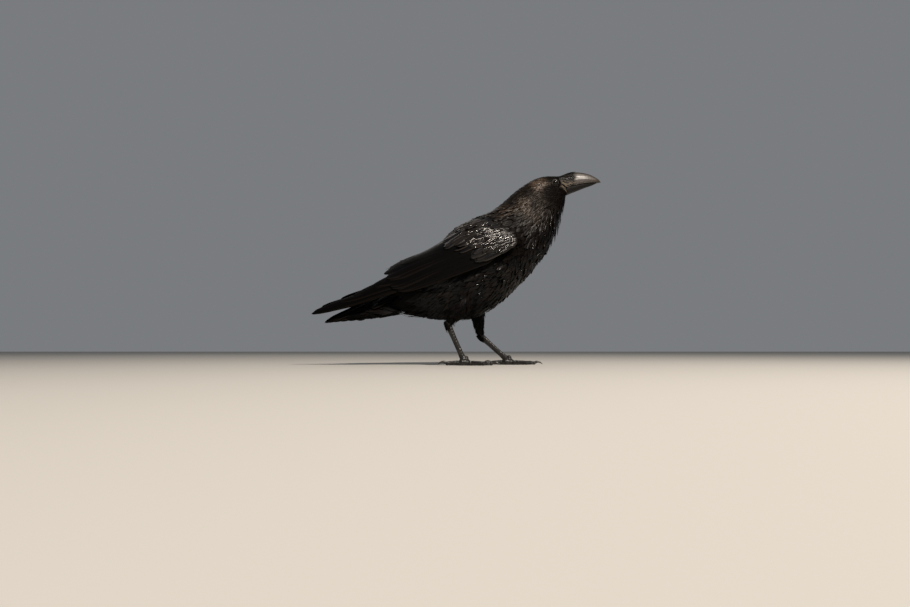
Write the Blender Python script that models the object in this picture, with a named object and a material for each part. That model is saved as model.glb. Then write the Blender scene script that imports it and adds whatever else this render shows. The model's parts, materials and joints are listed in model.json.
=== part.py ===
"""A common raven standing on both feet, life size, in metres with +Z up and the bill along +X.

The body is one lofted form, parted by thin plane cuts into trunk, neck and head. The wings are
shells folded over the trunk, and the feet stand on small flats at the height zero.
"""
import math

import bmesh
import bpy
import numpy as np
from mathutils import Vector

MM = 0.001
GAP = 0.3  # millimetres between two solids that meet

# Every outline below is in millimetres. X runs forward, Y to the bird's left and Z up.

# Rings of the body: lowest point (x, z), highest point (x, z), half width.
BODY = [
    ((-82.5, 83), (-108, 136.5), 29),
    ((-64.5, 80), (-94, 148.5), 36),
    ((-43.5, 77), (-74, 163.5), 42),
    ((-20.5, 73.5), (-51, 182), 46),
    ((6.5, 73), (-26.5, 200), 48.5),
    ((33.5, 77), (-4.5, 225), 50),
    ((58, 89), (18, 237.5), 50.5),
    ((80, 105.5), (38, 247), 50),
    ((100, 124.5), (55.5, 253.5), 48),
    ((119.5, 144), (68.5, 261), 44.5),
    ((136.5, 165.5), (79.5, 270.5), 40),
    ((152, 186.5), (91, 281), 35.5),
    ((163, 206), (104, 292.5), 31.5),
    ((171, 226), (118.5, 302.5), 28),
    ((177.5, 244.5), (131.5, 309.5), 25.5),
    ((182, 261), (145, 314), 23.2),
    ((184, 270.5), (155, 315), 21.2),
    ((184.5, 277), (163, 315), 18.8),
    ((185.2, 280.5), (170.5, 315), 16.2),
    ((185.5, 282.5), (178, 315.8), 13.6),
]
NECK_START = 10.0  # ring numbers of the two thin cuts
HEAD_START = 13.6
BODY_FULLNESS = 2.15  # exponent of the rings, where 2 is an ellipse
BODY_SIDES = 32
SHARP_EDGE = math.radians(50)
TRUNK_RINGS = 18
NECK_RINGS = 7
HEAD_RINGS = 11

# Sections of the upper bill: edge of the mouth (x, z), ridge (x, z), half width.
UPPER_BILL = [
    ((183.7, 293.4), (178.6, 316.6), 13.2),
    ((193.5, 296.5), (191.5, 321), 12),
    ((204.5, 299.5), (203, 322), 10.5),
    ((216, 302), (215, 320.7), 9),
    ((226, 303.5), (226, 317.8), 7),
    ((234, 304.3), (235, 313.2), 5),
    ((240, 304.6), (241, 309.3), 3),
]
UPPER_TIP = (244.5, 304.6)
# Sections of the lower bill: edge of the mouth, keel, half width.
LOWER_BILL = [
    ((183.8, 293.0), (186.1, 282.8), 12.4),
    ((193.5, 296.1), (196, 287), 11),
    ((204.5, 299.1), (206.5, 291), 9.3),
    ((216, 301.6), (217.5, 295.5), 7.5),
    ((226, 303.1), (227, 298.7), 5.3),
    ((233, 303.8), (233.5, 301.5), 3.3),
]
LOWER_TIP = (238, 303.8)
BILL_FULLNESS = 2.25

EYE_CENTRE = (165, 15.2, 300)
EYE_RADIUS = 6.0

# Sections of a folded wing: lower edge, upper edge, outward bulge, thickness.
WING = [
    ((107, 45, 197), (102, 40, 213.5), 2.5, 6),
    ((97, 51, 192), (85, 37, 225.5), 5, 10),
    ((82.5, 56, 185), (62.5, 34, 234), 8, 14),
    ((65.5, 59, 176), (38.5, 30, 239), 11, 16),
    ((35, 61, 160.5), (4, 22, 223), 15, 16),
    ((10, 61, 151.5), (-28.5, 9, 200), 18, 14),
    ((-11, 60, 143), (-52.5, 5, 186.5), 18, 13),
    ((-35, 57, 132), (-76.5, 4, 178.5), 17, 13),
    ((-58.5, 52, 121.5), (-98.5, 4, 168), 15, 11),
    ((-84.5, 47, 115.5), (-115.5, 5, 157.5), 12, 8),
]
WING_EDGE = 0.3  # thickness at the edges, as a share of that in the middle
HAND_SHARE = 0.62  # how far up the last section the long wing feathers start
HAND_THINNING = 0.85
# Sections of the long wing feathers behind it, in the same form.
HAND = [
    ((-113.5, 42, 110.5), (-138.5, 24, 125.5), 6, 6),
    ((-140.5, 36, 103.5), (-157.5, 19, 117.5), 5, 5),
    ((-165.5, 30, 95.5), (-187, 14.5, 109.5), 4, 4.5),
    ((-195.5, 23, 90), (-217, 12, 99.5), 3, 3.5),
    ((-222.5, 17, 84.5), (-230.5, 12, 91.5), 1.5, 2.5),
]
HAND_TIP = (-239, 13.5, 82.5)

# Sections of the tail: ridge (x, z), half width, drop of its sides, thickness at the ridge.
TAIL = [
    ((-108.5, 135.4), 28.5, 56, 52),
    ((-129, 123), 33, 46, 44),
    ((-149, 111), 34, 36, 32),
    ((-170.5, 98), 31, 24.5, 19),
    ((-189, 87), 24, 15, 11),
    ((-204, 78), 14, 7, 6),
    ((-213, 72.5), 5.5, 2.5, 3),
]
TAIL_TIP = (-218, 70)
TAIL_SLOPE = math.atan2(25, 53)  # that of the trunk's rear face
TAIL_ROOF = 1.4  # exponent of the fall from the ridge to the sides
TAIL_EDGE = 1.2  # thickness at the sides
TAIL_INSET = 0.4  # how far the underside stays inside the upper one
TAIL_RINGS = 11
TAIL_ACROSS = 13

# Legs: middle line (x, y, z) of the feathered drumstick and its radius, then the bare shank.
LEGS = {
    "right": {
        "drumstick": [
            ((24, -24, 116), 15),
            ((12, -31, 97), 17),
            ((-2, -35, 79), 11.5),
            ((-10, -36, 68), 7),
        ],
        "heel": (-11.5, -36, 65.5),
        "joint": (14, -30, 8),
        "toes": {"hallux": 184, "inner": 15, "middle": -11, "outer": -36},
    },
    "left": {
        "drumstick": [
            ((35, 22, 116), 15),
            ((38, 30, 92), 17),
            ((40.5, 35, 66), 11),
            ((44, 37, 50), 7),
        ],
        "heel": (44, 37, 48),
        "joint": (88, 26, 8),
        "toes": {"hallux": 176, "inner": -32, "middle": -6, "outer": 20},
    },
}
THIGH_WIDTH = 0.85  # of the depth
THIGH_SIDES = 14
THIGH_RINGS = 10
HEEL_OVERLAP = 2  # how far the shank starts inside the drumstick before it is cut clear
SHANK_DEPTH = [(0, 5.8), (0.12, 5.5), (0.35, 4.7), (0.75, 4.6), (0.92, 5.3), (1, 5.6)]  # share, half
SHANK_WIDTH = 0.78  # of the depth
SHANK_SIDES = 12
SHANK_RINGS = 9
PALM_REACH = (12.5, 9.0, 9.0)  # forward, back and to each side
PALM_HEIGHT = 11.5
PALM_MIDDLE = 4.0  # height of its widest ring
PALM_TILTS = (-28, -8, 12, 32, 52, 72)  # degrees up the dome of each ring, the first being the sole
PALM_SIDES = 16
PALM_LOWERED = 1.0  # how far the clearance reaches below the sole
TOES = {  # start and end from the joint, half height at the root and the end, length of the claw
    "hallux": (10.0, 27, 4.4, 3.6, 17),
    "inner": (13.6, 36, 4.1, 3.2, 14),
    "middle": (14.2, 45, 4.2, 3.2, 15),
    "outer": (13.6, 38, 4.0, 3.1, 13),
}
TOE_WIDTH = 0.74  # of the height
TOE_SIDES = 8
TOE_RINGS = 9
TOE_PADS = 3
PAD_DEPTH = 0.10  # how much thinner a toe is between its pads
PAD_LIFT = 0.35  # and how much higher its middle line runs there
TOE_LIFT = 0.9  # height of the middle line, as a share of the half height, so that the sole is flat
CLAW_HALF_HEIGHT = 2.7
CLAW_WIDTH = 0.7  # of the height
CLAW_STEP = 0.2  # how much lower its root is than the end of the toe
CLAW_ARCH = 0.26  # rise of its arc, as a share of its length
CLAW_LEAN = 0.45  # how far the top of the arc lies towards the root
CLAW_FLOOR = 0.1  # lowest height
CLAW_TIP_LIFT = 0.2
CLAW_SIDES = 8
CLAW_RINGS = 6


def clear_scene():
    for thing in list(bpy.data.objects):
        bpy.data.objects.remove(thing, do_unlink=True)


def surface(name, colour, roughness):
    material = bpy.data.materials.new(name)
    material.use_nodes = True
    shader = material.node_tree.nodes["Principled BSDF"]
    shader.inputs["Base Color"].default_value = (*colour, 1)
    shader.inputs["Roughness"].default_value = roughness
    shader.inputs["Metallic"].default_value = 0
    return material


def smooth_rows(rows, steps):
    """Rows of numbers read at fractional row numbers, on a Catmull-Rom curve through them."""
    rows = np.array(rows, float)
    padded = np.vstack([2 * rows[0] - rows[1], rows, 2 * rows[-1] - rows[-2]])
    found = []
    for step in steps:
        first = min(int(step), len(rows) - 2)
        t = step - first
        a, b, c, d = padded[first:first + 4]
        found.append(b + 0.5 * t * (c - a + t * (2 * a - 5 * b + 4 * c - d + t * (3 * (b - c) + d - a))))
    return np.array(found)


def flat(row):
    """One station as a plain list of numbers."""
    numbers = []
    for value in row:
        numbers.extend(value if isinstance(value, tuple) else (value,))
    return numbers


def add_solid(name, rings, material, parent, start=None, end=None):
    """A closed solid over rings of points in millimetres, with flat ends or a point at either."""
    mesh = bpy.data.meshes.new(name)
    form = bmesh.new()
    loops = [[form.verts.new(Vector(point) * MM) for point in ring] for ring in rings]
    for one, two in zip(loops, loops[1:]):
        for i in range(len(one)):
            k = (i + 1) % len(one)
            form.faces.new((one[i], one[k], two[k], two[i]))
    for loop, tip in ((loops[0], start), (loops[-1], end)):
        if tip is None:
            form.faces.new(loop)
            continue
        point = form.verts.new(Vector(tip) * MM)
        for i in range(len(loop)):
            form.faces.new((loop[i], loop[(i + 1) % len(loop)], point))
    bmesh.ops.recalc_face_normals(form, faces=form.faces)
    if form.calc_volume(signed=True) < 0:
        bmesh.ops.reverse_faces(form, faces=form.faces)
    form.to_mesh(mesh)
    form.free()
    mesh.shade_smooth()
    mesh.set_sharp_from_angle(angle=SHARP_EDGE)
    solid = bpy.data.objects.new(name, mesh)
    solid.data.materials.append(material)
    solid.parent = parent
    bpy.context.scene.collection.objects.link(solid)
    return solid


def make_cutter(solid):
    solid.hide_render = True
    solid.display_type = "WIRE"
    return solid


def cut(solid, cutter):
    change = solid.modifiers.new(f"clear of {cutter.name}", "BOOLEAN")
    change.operation = "DIFFERENCE"
    change.solver = "EXACT"
    change.object = cutter


def rounded(angle, fullness):
    """Cosine and sine of an angle, pushed out towards the corners by the fullness."""
    c, s = math.cos(angle), math.sin(angle)
    return math.copysign(abs(c) ** (2 / fullness), c), math.copysign(abs(s) ** (2 / fullness), s)


def body_rings(first, last, count, grow=0.0):
    """Rings of the body between two ring numbers, each grown outwards by a distance."""
    rings = []
    rows = smooth_rows([flat(row) for row in BODY], np.linspace(first, last, count))
    for xb, zb, xt, zt, half in rows:
        low, high = np.array([xb, 0, zb]), np.array([xt, 0, zt])
        middle, up = (low + high) / 2, (high - low) / 2
        tall = np.linalg.norm(up)
        ring = []
        for i in range(BODY_SIDES):
            side, rise = rounded(math.tau * i / BODY_SIDES, BODY_FULLNESS)
            point = middle + up / tall * rise * (tall + grow)
            point[1] = side * (half + grow)
            ring.append(point)
        rings.append(ring)
    return rings


def moved_along(rings, distance):
    """The rings with the first one carried a distance towards the second."""
    first, second = np.array(rings[0]), np.array(rings[1])
    way = second.mean(axis=0) - first.mean(axis=0)
    return [list(first + way / np.linalg.norm(way) * distance)] + rings[1:]


def make_body(parent, feathers):
    """Trunk, neck and head. Returns the head and the grown trunk that clears wings and thighs."""
    add_solid("trunk", body_rings(0, NECK_START, TRUNK_RINGS), feathers, parent)
    neck = body_rings(NECK_START, HEAD_START, NECK_RINGS)
    add_solid("neck", moved_along(neck, GAP), feathers, parent)
    head = body_rings(HEAD_START, len(BODY) - 1, HEAD_RINGS)
    clearance = body_rings(0, NECK_START, TRUNK_RINGS, GAP)
    cutter = make_cutter(add_solid("trunk_clearance", clearance, feathers, parent))
    return add_solid("head", moved_along(head, GAP), feathers, parent), cutter


def bill_rings(stations, sides=10):
    """Rings flat along the mouth and round away from it."""
    steps = np.linspace(0, len(stations) - 1, 2 * len(stations) - 1)
    rings = []
    for xm, zm, xr, zr, half in smooth_rows([flat(row) for row in stations], steps):
        mouth, away = np.array([xm, 0, zm]), np.array([xr - xm, 0, zr - zm])
        ring = []
        for i in range(sides + 1):
            side, rise = rounded(math.pi * i / sides, BILL_FULLNESS)
            point = mouth + away * rise
            point[1] = half * side
            ring.append(point)
        rings.append(ring)
    return rings


def make_bill(parent, horn):
    halves = {"upper_bill": (UPPER_BILL, UPPER_TIP), "lower_bill": (LOWER_BILL, LOWER_TIP)}
    for name, (stations, tip) in halves.items():
        rings = bill_rings(stations)
        add_solid(name, rings, horn, parent, end=(tip[0], 0, tip[1]))


def ball_rings(centre, radius, sides=16, rows=8):
    rings = []
    for j in range(1, rows):
        tilt = math.pi * j / rows
        across, along = radius * math.sin(tilt), radius * math.cos(tilt)
        rings.append([
            (centre[0] + across * math.cos(math.tau * i / sides), centre[1] + along,
             centre[2] + across * math.sin(math.tau * i / sides))
            for i in range(sides)
        ])
    return rings


def add_ball(name, centre, radius, material, parent):
    poles = [(centre[0], centre[1] + sign * radius, centre[2]) for sign in (1, -1)]
    return add_solid(name, ball_rings(centre, radius), material, parent, start=poles[0], end=poles[1])


def make_eyes(parent, head, glass):
    for side, sign in (("left", 1), ("right", -1)):
        centre = (EYE_CENTRE[0], sign * EYE_CENTRE[1], EYE_CENTRE[2])
        add_ball(f"eye_{side}", centre, EYE_RADIUS, glass, parent)
        cut(head, make_cutter(add_ball(f"socket_{side}", centre, EYE_RADIUS + GAP, glass, parent)))


def bowed(row, share):
    """A point of a section at a share of the way up it, how far it is bowed, and the way inwards."""
    lower, upper, bulge = np.array(row[:3]), np.array(row[3:6]), row[6]
    chord = upper - lower
    inward = np.array([0.0, -1.0, 0.0])
    inward -= chord * inward.dot(chord) / chord.dot(chord)
    inward /= np.linalg.norm(inward)
    bow = 4 * share * (1 - share)
    return lower + chord * share - inward * bulge * bow, bow, inward


def shell_ring(row, points=8):
    """The ring round a thin bowed section at +Y, hollow towards the body and thinner at its edges."""
    outer, inner = [], []
    for i in range(points):
        point, bow, inward = bowed(row, i / (points - 1))
        outer.append(point)
        inner.append(point + inward * row[7] * (WING_EDGE + (1 - WING_EDGE) * bow ** 0.6))
    return outer + inner[::-1]


def first_hand_row(last_wing_row):
    """The long feathers' first section: the lower share of the wing's last one, a gap behind it."""
    lower = np.array(last_wing_row[:3])
    split = bowed(last_wing_row, HAND_SHARE)[0]
    back = np.array(HAND[0][0]) - lower
    back *= GAP / np.linalg.norm(back)
    bulge, thick = last_wing_row[6] * HAND_SHARE ** 2, last_wing_row[7] * HAND_THINNING
    return [*(lower + back), *(split + back), bulge, thick]


def make_wings(parent, cutter, feathers):
    arm = [flat(row) for row in WING]
    hand = [first_hand_row(arm[-1])] + [flat(row) for row in HAND]
    for side, sign in (("left", 1), ("right", -1)):
        for name, rows, tip in (("wing", arm, None), ("primaries", hand, HAND_TIP)):
            rows = smooth_rows(rows, np.linspace(0, len(rows) - 1, 2 * len(rows) - 1))
            rings = [[(x, sign * y, z) for x, y, z in shell_ring(row)] for row in rows]
            end = tip and (tip[0], sign * tip[1], tip[2])
            cut(add_solid(f"{name}_{side}", rings, feathers, parent, end=end), cutter)


def make_tail(parent, feathers):
    """A folded tail, roofed over its ridge, filled below at its root by the feathers there."""
    down = np.array([math.sin(TAIL_SLOPE), 0, -math.cos(TAIL_SLOPE)])
    rows = smooth_rows([flat(row) for row in TAIL], np.linspace(0, len(TAIL) - 1, TAIL_RINGS))
    rings = []
    for x, z, half, drop, thick in rows:
        ridge = np.array([x, 0, z])
        over, under = [], []
        for side in np.linspace(-1, 1, TAIL_ACROSS):
            fall = drop * abs(side) ** TAIL_ROOF
            over.append(ridge + down * fall + np.array([0, side * half, 0]))
            deep = TAIL_EDGE + (thick - TAIL_EDGE) * (1 - abs(side)) ** 0.8
            under.append(over[-1] + down * deep - np.array([0, TAIL_INSET * np.sign(side), 0]))
        rings.append(over + under[::-1])
    add_solid("tail", rings, feathers, parent, end=(TAIL_TIP[0], 0, TAIL_TIP[1]))


def tube_rings(points, halves, flatten, sides, floor=None, square_to=None):
    """Oval rings along a line, deep in the upright plane of the line and narrower across it.

    The first ring is square to a given direction, where there is one.
    """
    points = [Vector(point) for point in points]
    rings = []
    for i, point in enumerate(points):
        way = points[min(i + 1, len(points) - 1)] - points[max(i - 1, 0)]
        if square_to is not None and i == 0:
            way = square_to.copy()
        way.normalize()
        across = way.cross(Vector((0, 0, 1))).normalized()
        deep = across.cross(way)
        ring = []
        for k in range(sides):
            angle = math.tau * k / sides
            spot = point + deep * halves[i] * math.sin(angle)
            spot += across * halves[i] * flatten * math.cos(angle)
            if floor is not None:
                spot.z = max(spot.z, floor)
            ring.append(spot)
        rings.append(ring)
    return rings


def make_leg(parent, side, leg, trunk_cutter, feathers, scutes):
    rows = smooth_rows([flat(row) for row in leg["drumstick"]], np.linspace(0, 3, THIGH_RINGS))
    rings = tube_rings(rows[:, :3], rows[:, 3], THIGH_WIDTH, THIGH_SIDES)
    thigh = add_solid(f"thigh_{side}", rings, feathers, parent)
    cut(thigh, trunk_cutter)
    beyond = Vector(rows[-1, :3]) + Vector(rows[-1, :3] - rows[-2, :3]).normalized() * GAP
    grown = [*(rows[:, 3] + GAP), rows[-1, 3] + GAP]
    clearance = tube_rings([*rows[:, :3], beyond], grown, THIGH_WIDTH, THIGH_SIDES)
    thigh_cutter = make_cutter(add_solid(f"thigh_clearance_{side}", clearance, feathers, parent))
    heel, joint = Vector(leg["heel"]), Vector(leg["joint"])
    way = (joint - heel).normalized()
    shares = [share for share, _ in SHANK_DEPTH]
    halves = [half for _, half in SHANK_DEPTH]
    start = heel - way * HEEL_OVERLAP
    steps = np.linspace(0, 1, SHANK_RINGS)
    line = [start.lerp(joint, step) for step in steps]
    depth = np.interp(steps, shares, halves)
    rings = tube_rings(line, depth, SHANK_WIDTH, SHANK_SIDES)
    shank = add_solid(f"shank_{side}", rings, scutes, parent)
    cut(shank, thigh_cutter)
    make_foot(parent, side, leg, shank, scutes)


def palm_rings(joint, turn, grow=0.0):
    """A low dome with a flat sole round the joint, longer in front."""
    rings = []
    for j, tilt in enumerate(np.radians(PALM_TILTS)):
        level = PALM_MIDDLE + (PALM_HEIGHT - PALM_MIDDLE + grow) * math.sin(tilt) if j else 0.0
        ring = []
        for i in range(PALM_SIDES):
            angle = math.tau * i / PALM_SIDES
            reach = PALM_REACH[0] if math.cos(angle) > 0 else PALM_REACH[1]
            x = (reach + grow) * math.cos(angle) * math.cos(tilt)
            y = (PALM_REACH[2] + grow) * math.sin(angle) * math.cos(tilt)
            ring.append((joint[0] + x * math.cos(turn) - y * math.sin(turn),
                         joint[1] + x * math.sin(turn) + y * math.cos(turn), level))
        rings.append(ring)
    return rings


def make_foot(parent, side, leg, shank, scutes):
    joint = leg["joint"]
    turn = math.radians(leg["toes"]["middle"])
    top = (joint[0], joint[1], PALM_HEIGHT)
    add_solid(f"palm_{side}", palm_rings(joint, turn), scutes, parent, end=top)
    clearance = palm_rings(joint, turn, GAP)
    clearance[0] = [(x, y, z - PALM_LOWERED) for x, y, z in clearance[0]]
    top = (joint[0], joint[1], PALM_HEIGHT + GAP)
    cut(shank, make_cutter(add_solid(f"palm_clearance_{side}", clearance, scutes, parent, end=top)))
    for toe, degrees in leg["toes"].items():
        make_toe(parent, f"{toe}_{side}", joint, math.radians(degrees), TOES[toe], scutes)


def make_toe(parent, name, joint, heading, sizes, scutes):
    """A toe with three pads on the floor, and its claw curving down to the floor."""
    start, end, root, tip, claw_length = sizes
    ahead = Vector((math.cos(heading), math.sin(heading), 0))
    base = Vector((joint[0], joint[1], 0))
    line, halves = [], []
    for share in np.linspace(0, 1, TOE_RINGS):
        half = root + (tip - root) * share
        pad = 0.5 + 0.5 * math.cos(math.tau * TOE_PADS * share)
        halves.append(half * (1 - PAD_DEPTH + PAD_DEPTH * pad))
        lift = Vector((0, 0, TOE_LIFT * half + PAD_LIFT * (1 - pad)))
        line.append(base + ahead * (start + (end - start) * share) + lift)
    rings = tube_rings(line, halves, TOE_WIDTH, TOE_SIDES, floor=0.0, square_to=ahead)
    face = Vector((line[-1].x, line[-1].y, 0))
    for spot in rings[-1]:
        spot -= ahead * (spot - face).dot(ahead)
    add_solid(f"toe_{name}", rings, scutes, parent)
    make_claw(parent, name, line[-1] + ahead * GAP, ahead, halves[-1], claw_length, scutes)


def make_claw(parent, name, base, ahead, limit, length, horn):
    """A claw on an arc that leaves the toe a little upwards and ends just over the floor."""
    half = min(CLAW_HALF_HEIGHT, limit - CLAW_STEP)
    line, halves = [], []
    drop = base.z - CLAW_TIP_LIFT
    for share in np.arange(CLAW_RINGS) / CLAW_RINGS:
        rise = CLAW_ARCH * length * math.sin(math.pi * share) * (1 - CLAW_LEAN * share)
        line.append(base + ahead * length * share + Vector((0, 0, rise - drop * share ** 1.6)))
        halves.append(half * (1 - share) ** 0.75)
    end = base + ahead * length - Vector((0, 0, drop))
    rings = tube_rings(line, halves, CLAW_WIDTH, CLAW_SIDES, CLAW_FLOOR, ahead)
    add_solid(f"claw_{name}", rings, horn, parent, end=end)


def stand_on_origin(root):
    """Moves everything so that the middle of the box's floor is the origin."""
    things = bpy.context.scene.objects
    solids = [thing for thing in things if thing.type == "MESH" and not thing.hide_render]
    points = np.array([vertex.co for solid in solids for vertex in solid.data.vertices])
    low, high = points.min(axis=0), points.max(axis=0)
    root.location = (-(low[0] + high[0]) / 2, -(low[1] + high[1]) / 2, -low[2])


def main():
    clear_scene()
    root = bpy.data.objects.new("raven", None)
    bpy.context.scene.collection.objects.link(root)
    feathers = surface("black feathers", (0.012, 0.012, 0.014), 0.45)
    horn = surface("bill horn", (0.06, 0.055, 0.05), 0.3)
    glass = surface("dark eye", (0.02, 0.012, 0.008), 0.05)
    scutes = surface("leg scutes", (0.05, 0.045, 0.042), 0.4)
    head, trunk_cutter = make_body(root, feathers)
    make_bill(root, horn)
    make_eyes(root, head, glass)
    make_wings(root, trunk_cutter, feathers)
    make_tail(root, feathers)
    for side, leg in LEGS.items():
        make_leg(root, side, leg, trunk_cutter, feathers, scutes)
    stand_on_origin(root)


main()
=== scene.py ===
import functools
import json
import math

import bmesh
import bpy
import numpy as np
from mathutils import Matrix, Vector, kdtree
from mathutils.bvhtree import BVHTree

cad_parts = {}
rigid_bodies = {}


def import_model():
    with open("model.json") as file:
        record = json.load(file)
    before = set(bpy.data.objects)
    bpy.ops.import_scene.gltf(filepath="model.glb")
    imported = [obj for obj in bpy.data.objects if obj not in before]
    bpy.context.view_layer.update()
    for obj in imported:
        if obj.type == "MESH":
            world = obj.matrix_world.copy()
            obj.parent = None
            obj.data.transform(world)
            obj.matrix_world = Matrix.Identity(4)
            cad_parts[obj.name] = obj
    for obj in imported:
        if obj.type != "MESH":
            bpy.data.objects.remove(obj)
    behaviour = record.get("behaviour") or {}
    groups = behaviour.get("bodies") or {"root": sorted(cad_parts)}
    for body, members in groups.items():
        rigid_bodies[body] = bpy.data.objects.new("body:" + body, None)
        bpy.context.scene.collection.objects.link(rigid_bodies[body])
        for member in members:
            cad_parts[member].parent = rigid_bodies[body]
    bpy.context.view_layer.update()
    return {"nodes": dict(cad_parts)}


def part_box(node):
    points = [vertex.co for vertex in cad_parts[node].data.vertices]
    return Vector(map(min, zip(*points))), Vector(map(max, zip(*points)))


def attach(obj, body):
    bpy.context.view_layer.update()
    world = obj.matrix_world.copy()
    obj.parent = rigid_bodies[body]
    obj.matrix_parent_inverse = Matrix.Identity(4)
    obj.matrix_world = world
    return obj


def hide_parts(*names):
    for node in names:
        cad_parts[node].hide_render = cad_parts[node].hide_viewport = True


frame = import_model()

# A common raven, life size. X runs forward along the bill, Y to its left, Z up. Metres, sizes given in mm.
mm = 0.001
nodes = frame["nodes"]
scene = bpy.context.scene


def linear(colour):
    # "#rrggbb" as drawn on a screen to the light it stands for
    parts = [int(colour[i:i + 2], 16) / 255 for i in (1, 3, 5)]
    return tuple(c / 12.92 if c <= 0.04045 else ((c + 0.055) / 1.055) ** 2.4 for c in parts)


def setInputs(node, inputs):
    # each input is set, or linked from a socket or from a node's first output
    for name, value in inputs.items():
        if isinstance(value, bpy.types.Node):
            value = next(output for output in value.outputs if output.enabled)
        if isinstance(value, bpy.types.NodeSocket):
            node.id_data.links.new(value, node.inputs[name])
        elif isinstance(value, str) and value.startswith("#"):
            node.inputs[name].default_value = (*linear(value), 1)
        else:
            node.inputs[name].default_value = value
    return node


def addNode(tree, kind, inputs=(), **settings):
    # a node with its settings and its inputs, by name or in order
    # its kind stands without "GeometryNode" and such, and its operation may stand behind it
    kind, *operation = kind.split()
    families = ["ShaderNode"]
    if tree.type == "GEOMETRY":
        families = ["GeometryNode", "FunctionNode", "ShaderNode", "Node"]
    node = tree.nodes.new(next(family + kind for family in families if hasattr(bpy.types, family + kind)))
    for name, value in [*zip(["operation"], operation), *settings.items()]:
        setattr(node, name, value)
    return setInputs(node, inputs if isinstance(inputs, dict) else dict(enumerate(inputs)))


def newObject(name, mesh):
    thing = bpy.data.objects.new(name, mesh)
    scene.collection.objects.link(thing)
    return thing


def meshFrom(name, points, faces):
    mesh = bpy.data.meshes.new(name)
    mesh.from_pydata([tuple(point) for point in points], [], [tuple(face) for face in faces])
    mesh.update()
    return mesh


def readAll(items, field, width, kind):
    # one property of all the items, a row for each
    found = np.empty(len(items) * width, kind)
    items.foreach_get(field, found)
    return found.reshape(-1, width)


def pointsOf(mesh):
    return readAll(mesh.vertices, "co", 3, float)


def normalsOf(mesh):
    return readAll(mesh.vertex_normals, "vector", 3, np.float32).astype(float)


def setPoints(mesh, points):
    mesh.vertices.foreach_set("co", np.asarray(points, np.float32).ravel())
    mesh.update()


def storeValue(mesh, name, values):
    mesh.attributes.new(name, "FLOAT", "POINT").data.foreach_set("value", np.asarray(values, np.float32))


def readValues(mesh, name):
    layer = mesh.attributes[name]
    return readAll(layer.data, "value", 1, np.int32 if layer.data_type == "INT" else np.float32)[:, 0]


def evaluated(thing):
    # the object's mesh with its modifiers done, and the object left with that plain mesh
    graph = bpy.context.evaluated_depsgraph_get()
    mesh = bpy.data.meshes.new_from_object(thing.evaluated_get(graph))
    thing.modifiers.clear()
    thing.data = mesh
    return mesh


def evened(thing, rounds, voxel=None):
    # the mesh smoothed, after it is remade on a grid where a voxel's size is given
    if voxel:
        grid = thing.modifiers.new("grid", "REMESH")
        grid.mode = "VOXEL"
        grid.voxel_size = voxel
    even = thing.modifiers.new("even", "SMOOTH")
    even.factor = 0.5
    even.iterations = rounds
    mesh = evaluated(thing)
    mesh.shade_smooth()
    return mesh


def smoothstep(low, high, value):
    t = np.clip((value - low) / (high - low), 0, 1)
    return t * t * (3 - 2 * t)


def unit(vectors):
    return vectors / np.maximum(np.linalg.norm(vectors, axis=-1, keepdims=True), 1e-12)


def square(vectors, ways):
    # the part of each vector that is square to its way, at unit length
    return unit(vectors - ways * (vectors * ways).sum(axis=-1, keepdims=True))


def columns(*parts):
    return np.stack(np.broadcast_arrays(*parts), axis=-1)


def newTree(name, sockets):
    tree = bpy.data.node_groups.new(name, "GeometryNodeTree")
    for label, kind in {"Geometry": "Geometry", **sockets}.items():
        tree.interface.new_socket(label, in_out="INPUT", socket_type=f"NodeSocket{kind}")
    tree.interface.new_socket("Geometry", in_out="OUTPUT", socket_type="NodeSocketGeometry")
    add = functools.partial(addNode, tree)
    return tree, add, add("GroupInput").outputs


def useTree(thing, tree, values):
    # a Geometry Nodes modifier with its inputs set by their identifiers
    change = thing.modifiers.new(tree.name, "NODES")
    change.node_group = tree
    for item in tree.interface.items_tree:
        if item.in_out == "INPUT" and item.name in values:
            change[item.identifier] = values[item.name]


# camera, floor and light
view = {
    "lens": 28.0,  # mm, on a sensor 36 mm wide
    "distance": 1.170,
    "height": 0.0264,
    "pitch": 3.68,  # degrees up
    "side": -0.00275,
    "reach": 6,  # half the floor's side
}


def makeView():
    camera = bpy.data.objects.new("camera", bpy.data.cameras.new("camera"))
    camera.data.lens = view["lens"]
    camera.data.sensor_width = 36
    camera.data.clip_start = 0.01
    camera.location = (view["side"], -view["distance"], view["height"])
    camera.rotation_euler = (math.radians(90 + view["pitch"]), 0, 0)
    scene.collection.objects.link(camera)
    scene.camera = camera
    corners = [(x * view["reach"], y * view["reach"], 0) for x, y in ((-1, -1), (1, -1), (1, 1), (-1, 1))]
    floor = newObject("floor", meshFrom("floor", corners, [(0, 1, 2, 3)]))
    floor.data.materials.append(paintedFloor())


light = {  # lamps: place, size in metres, watts
    "lamps": {"key": ((0.9, -1.5, 1.9), 0.32, 92), "back": ((-0.6, 1.9, 1.9), 1.6, 4)},
    "aim": (0.02, 0, 0.17), "colour": "#fff3e6",
    "sky": "#dfe3e8", "skyStrength": 0.26,
}


def makeLight():
    aim = Vector(light["aim"])
    for name, (place, size, power) in light["lamps"].items():
        lamp = bpy.data.objects.new(name, bpy.data.lights.new(name, "AREA"))
        lamp.data.shape = "DISK"
        lamp.data.size = size
        lamp.data.energy = power
        lamp.data.color = linear(light["colour"])
        lamp.location = place
        lamp.rotation_euler = (aim - lamp.location).to_track_quat("-Z", "Y").to_euler()
        scene.collection.objects.link(lamp)
    world = bpy.data.worlds.new("studio")
    world.use_nodes = True
    setInputs(world.node_tree.nodes["Background"], {"Color": light["sky"], "Strength": light["skyStrength"]})
    scene.world = world
    scene.view_settings.view_transform = "Standard"


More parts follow.
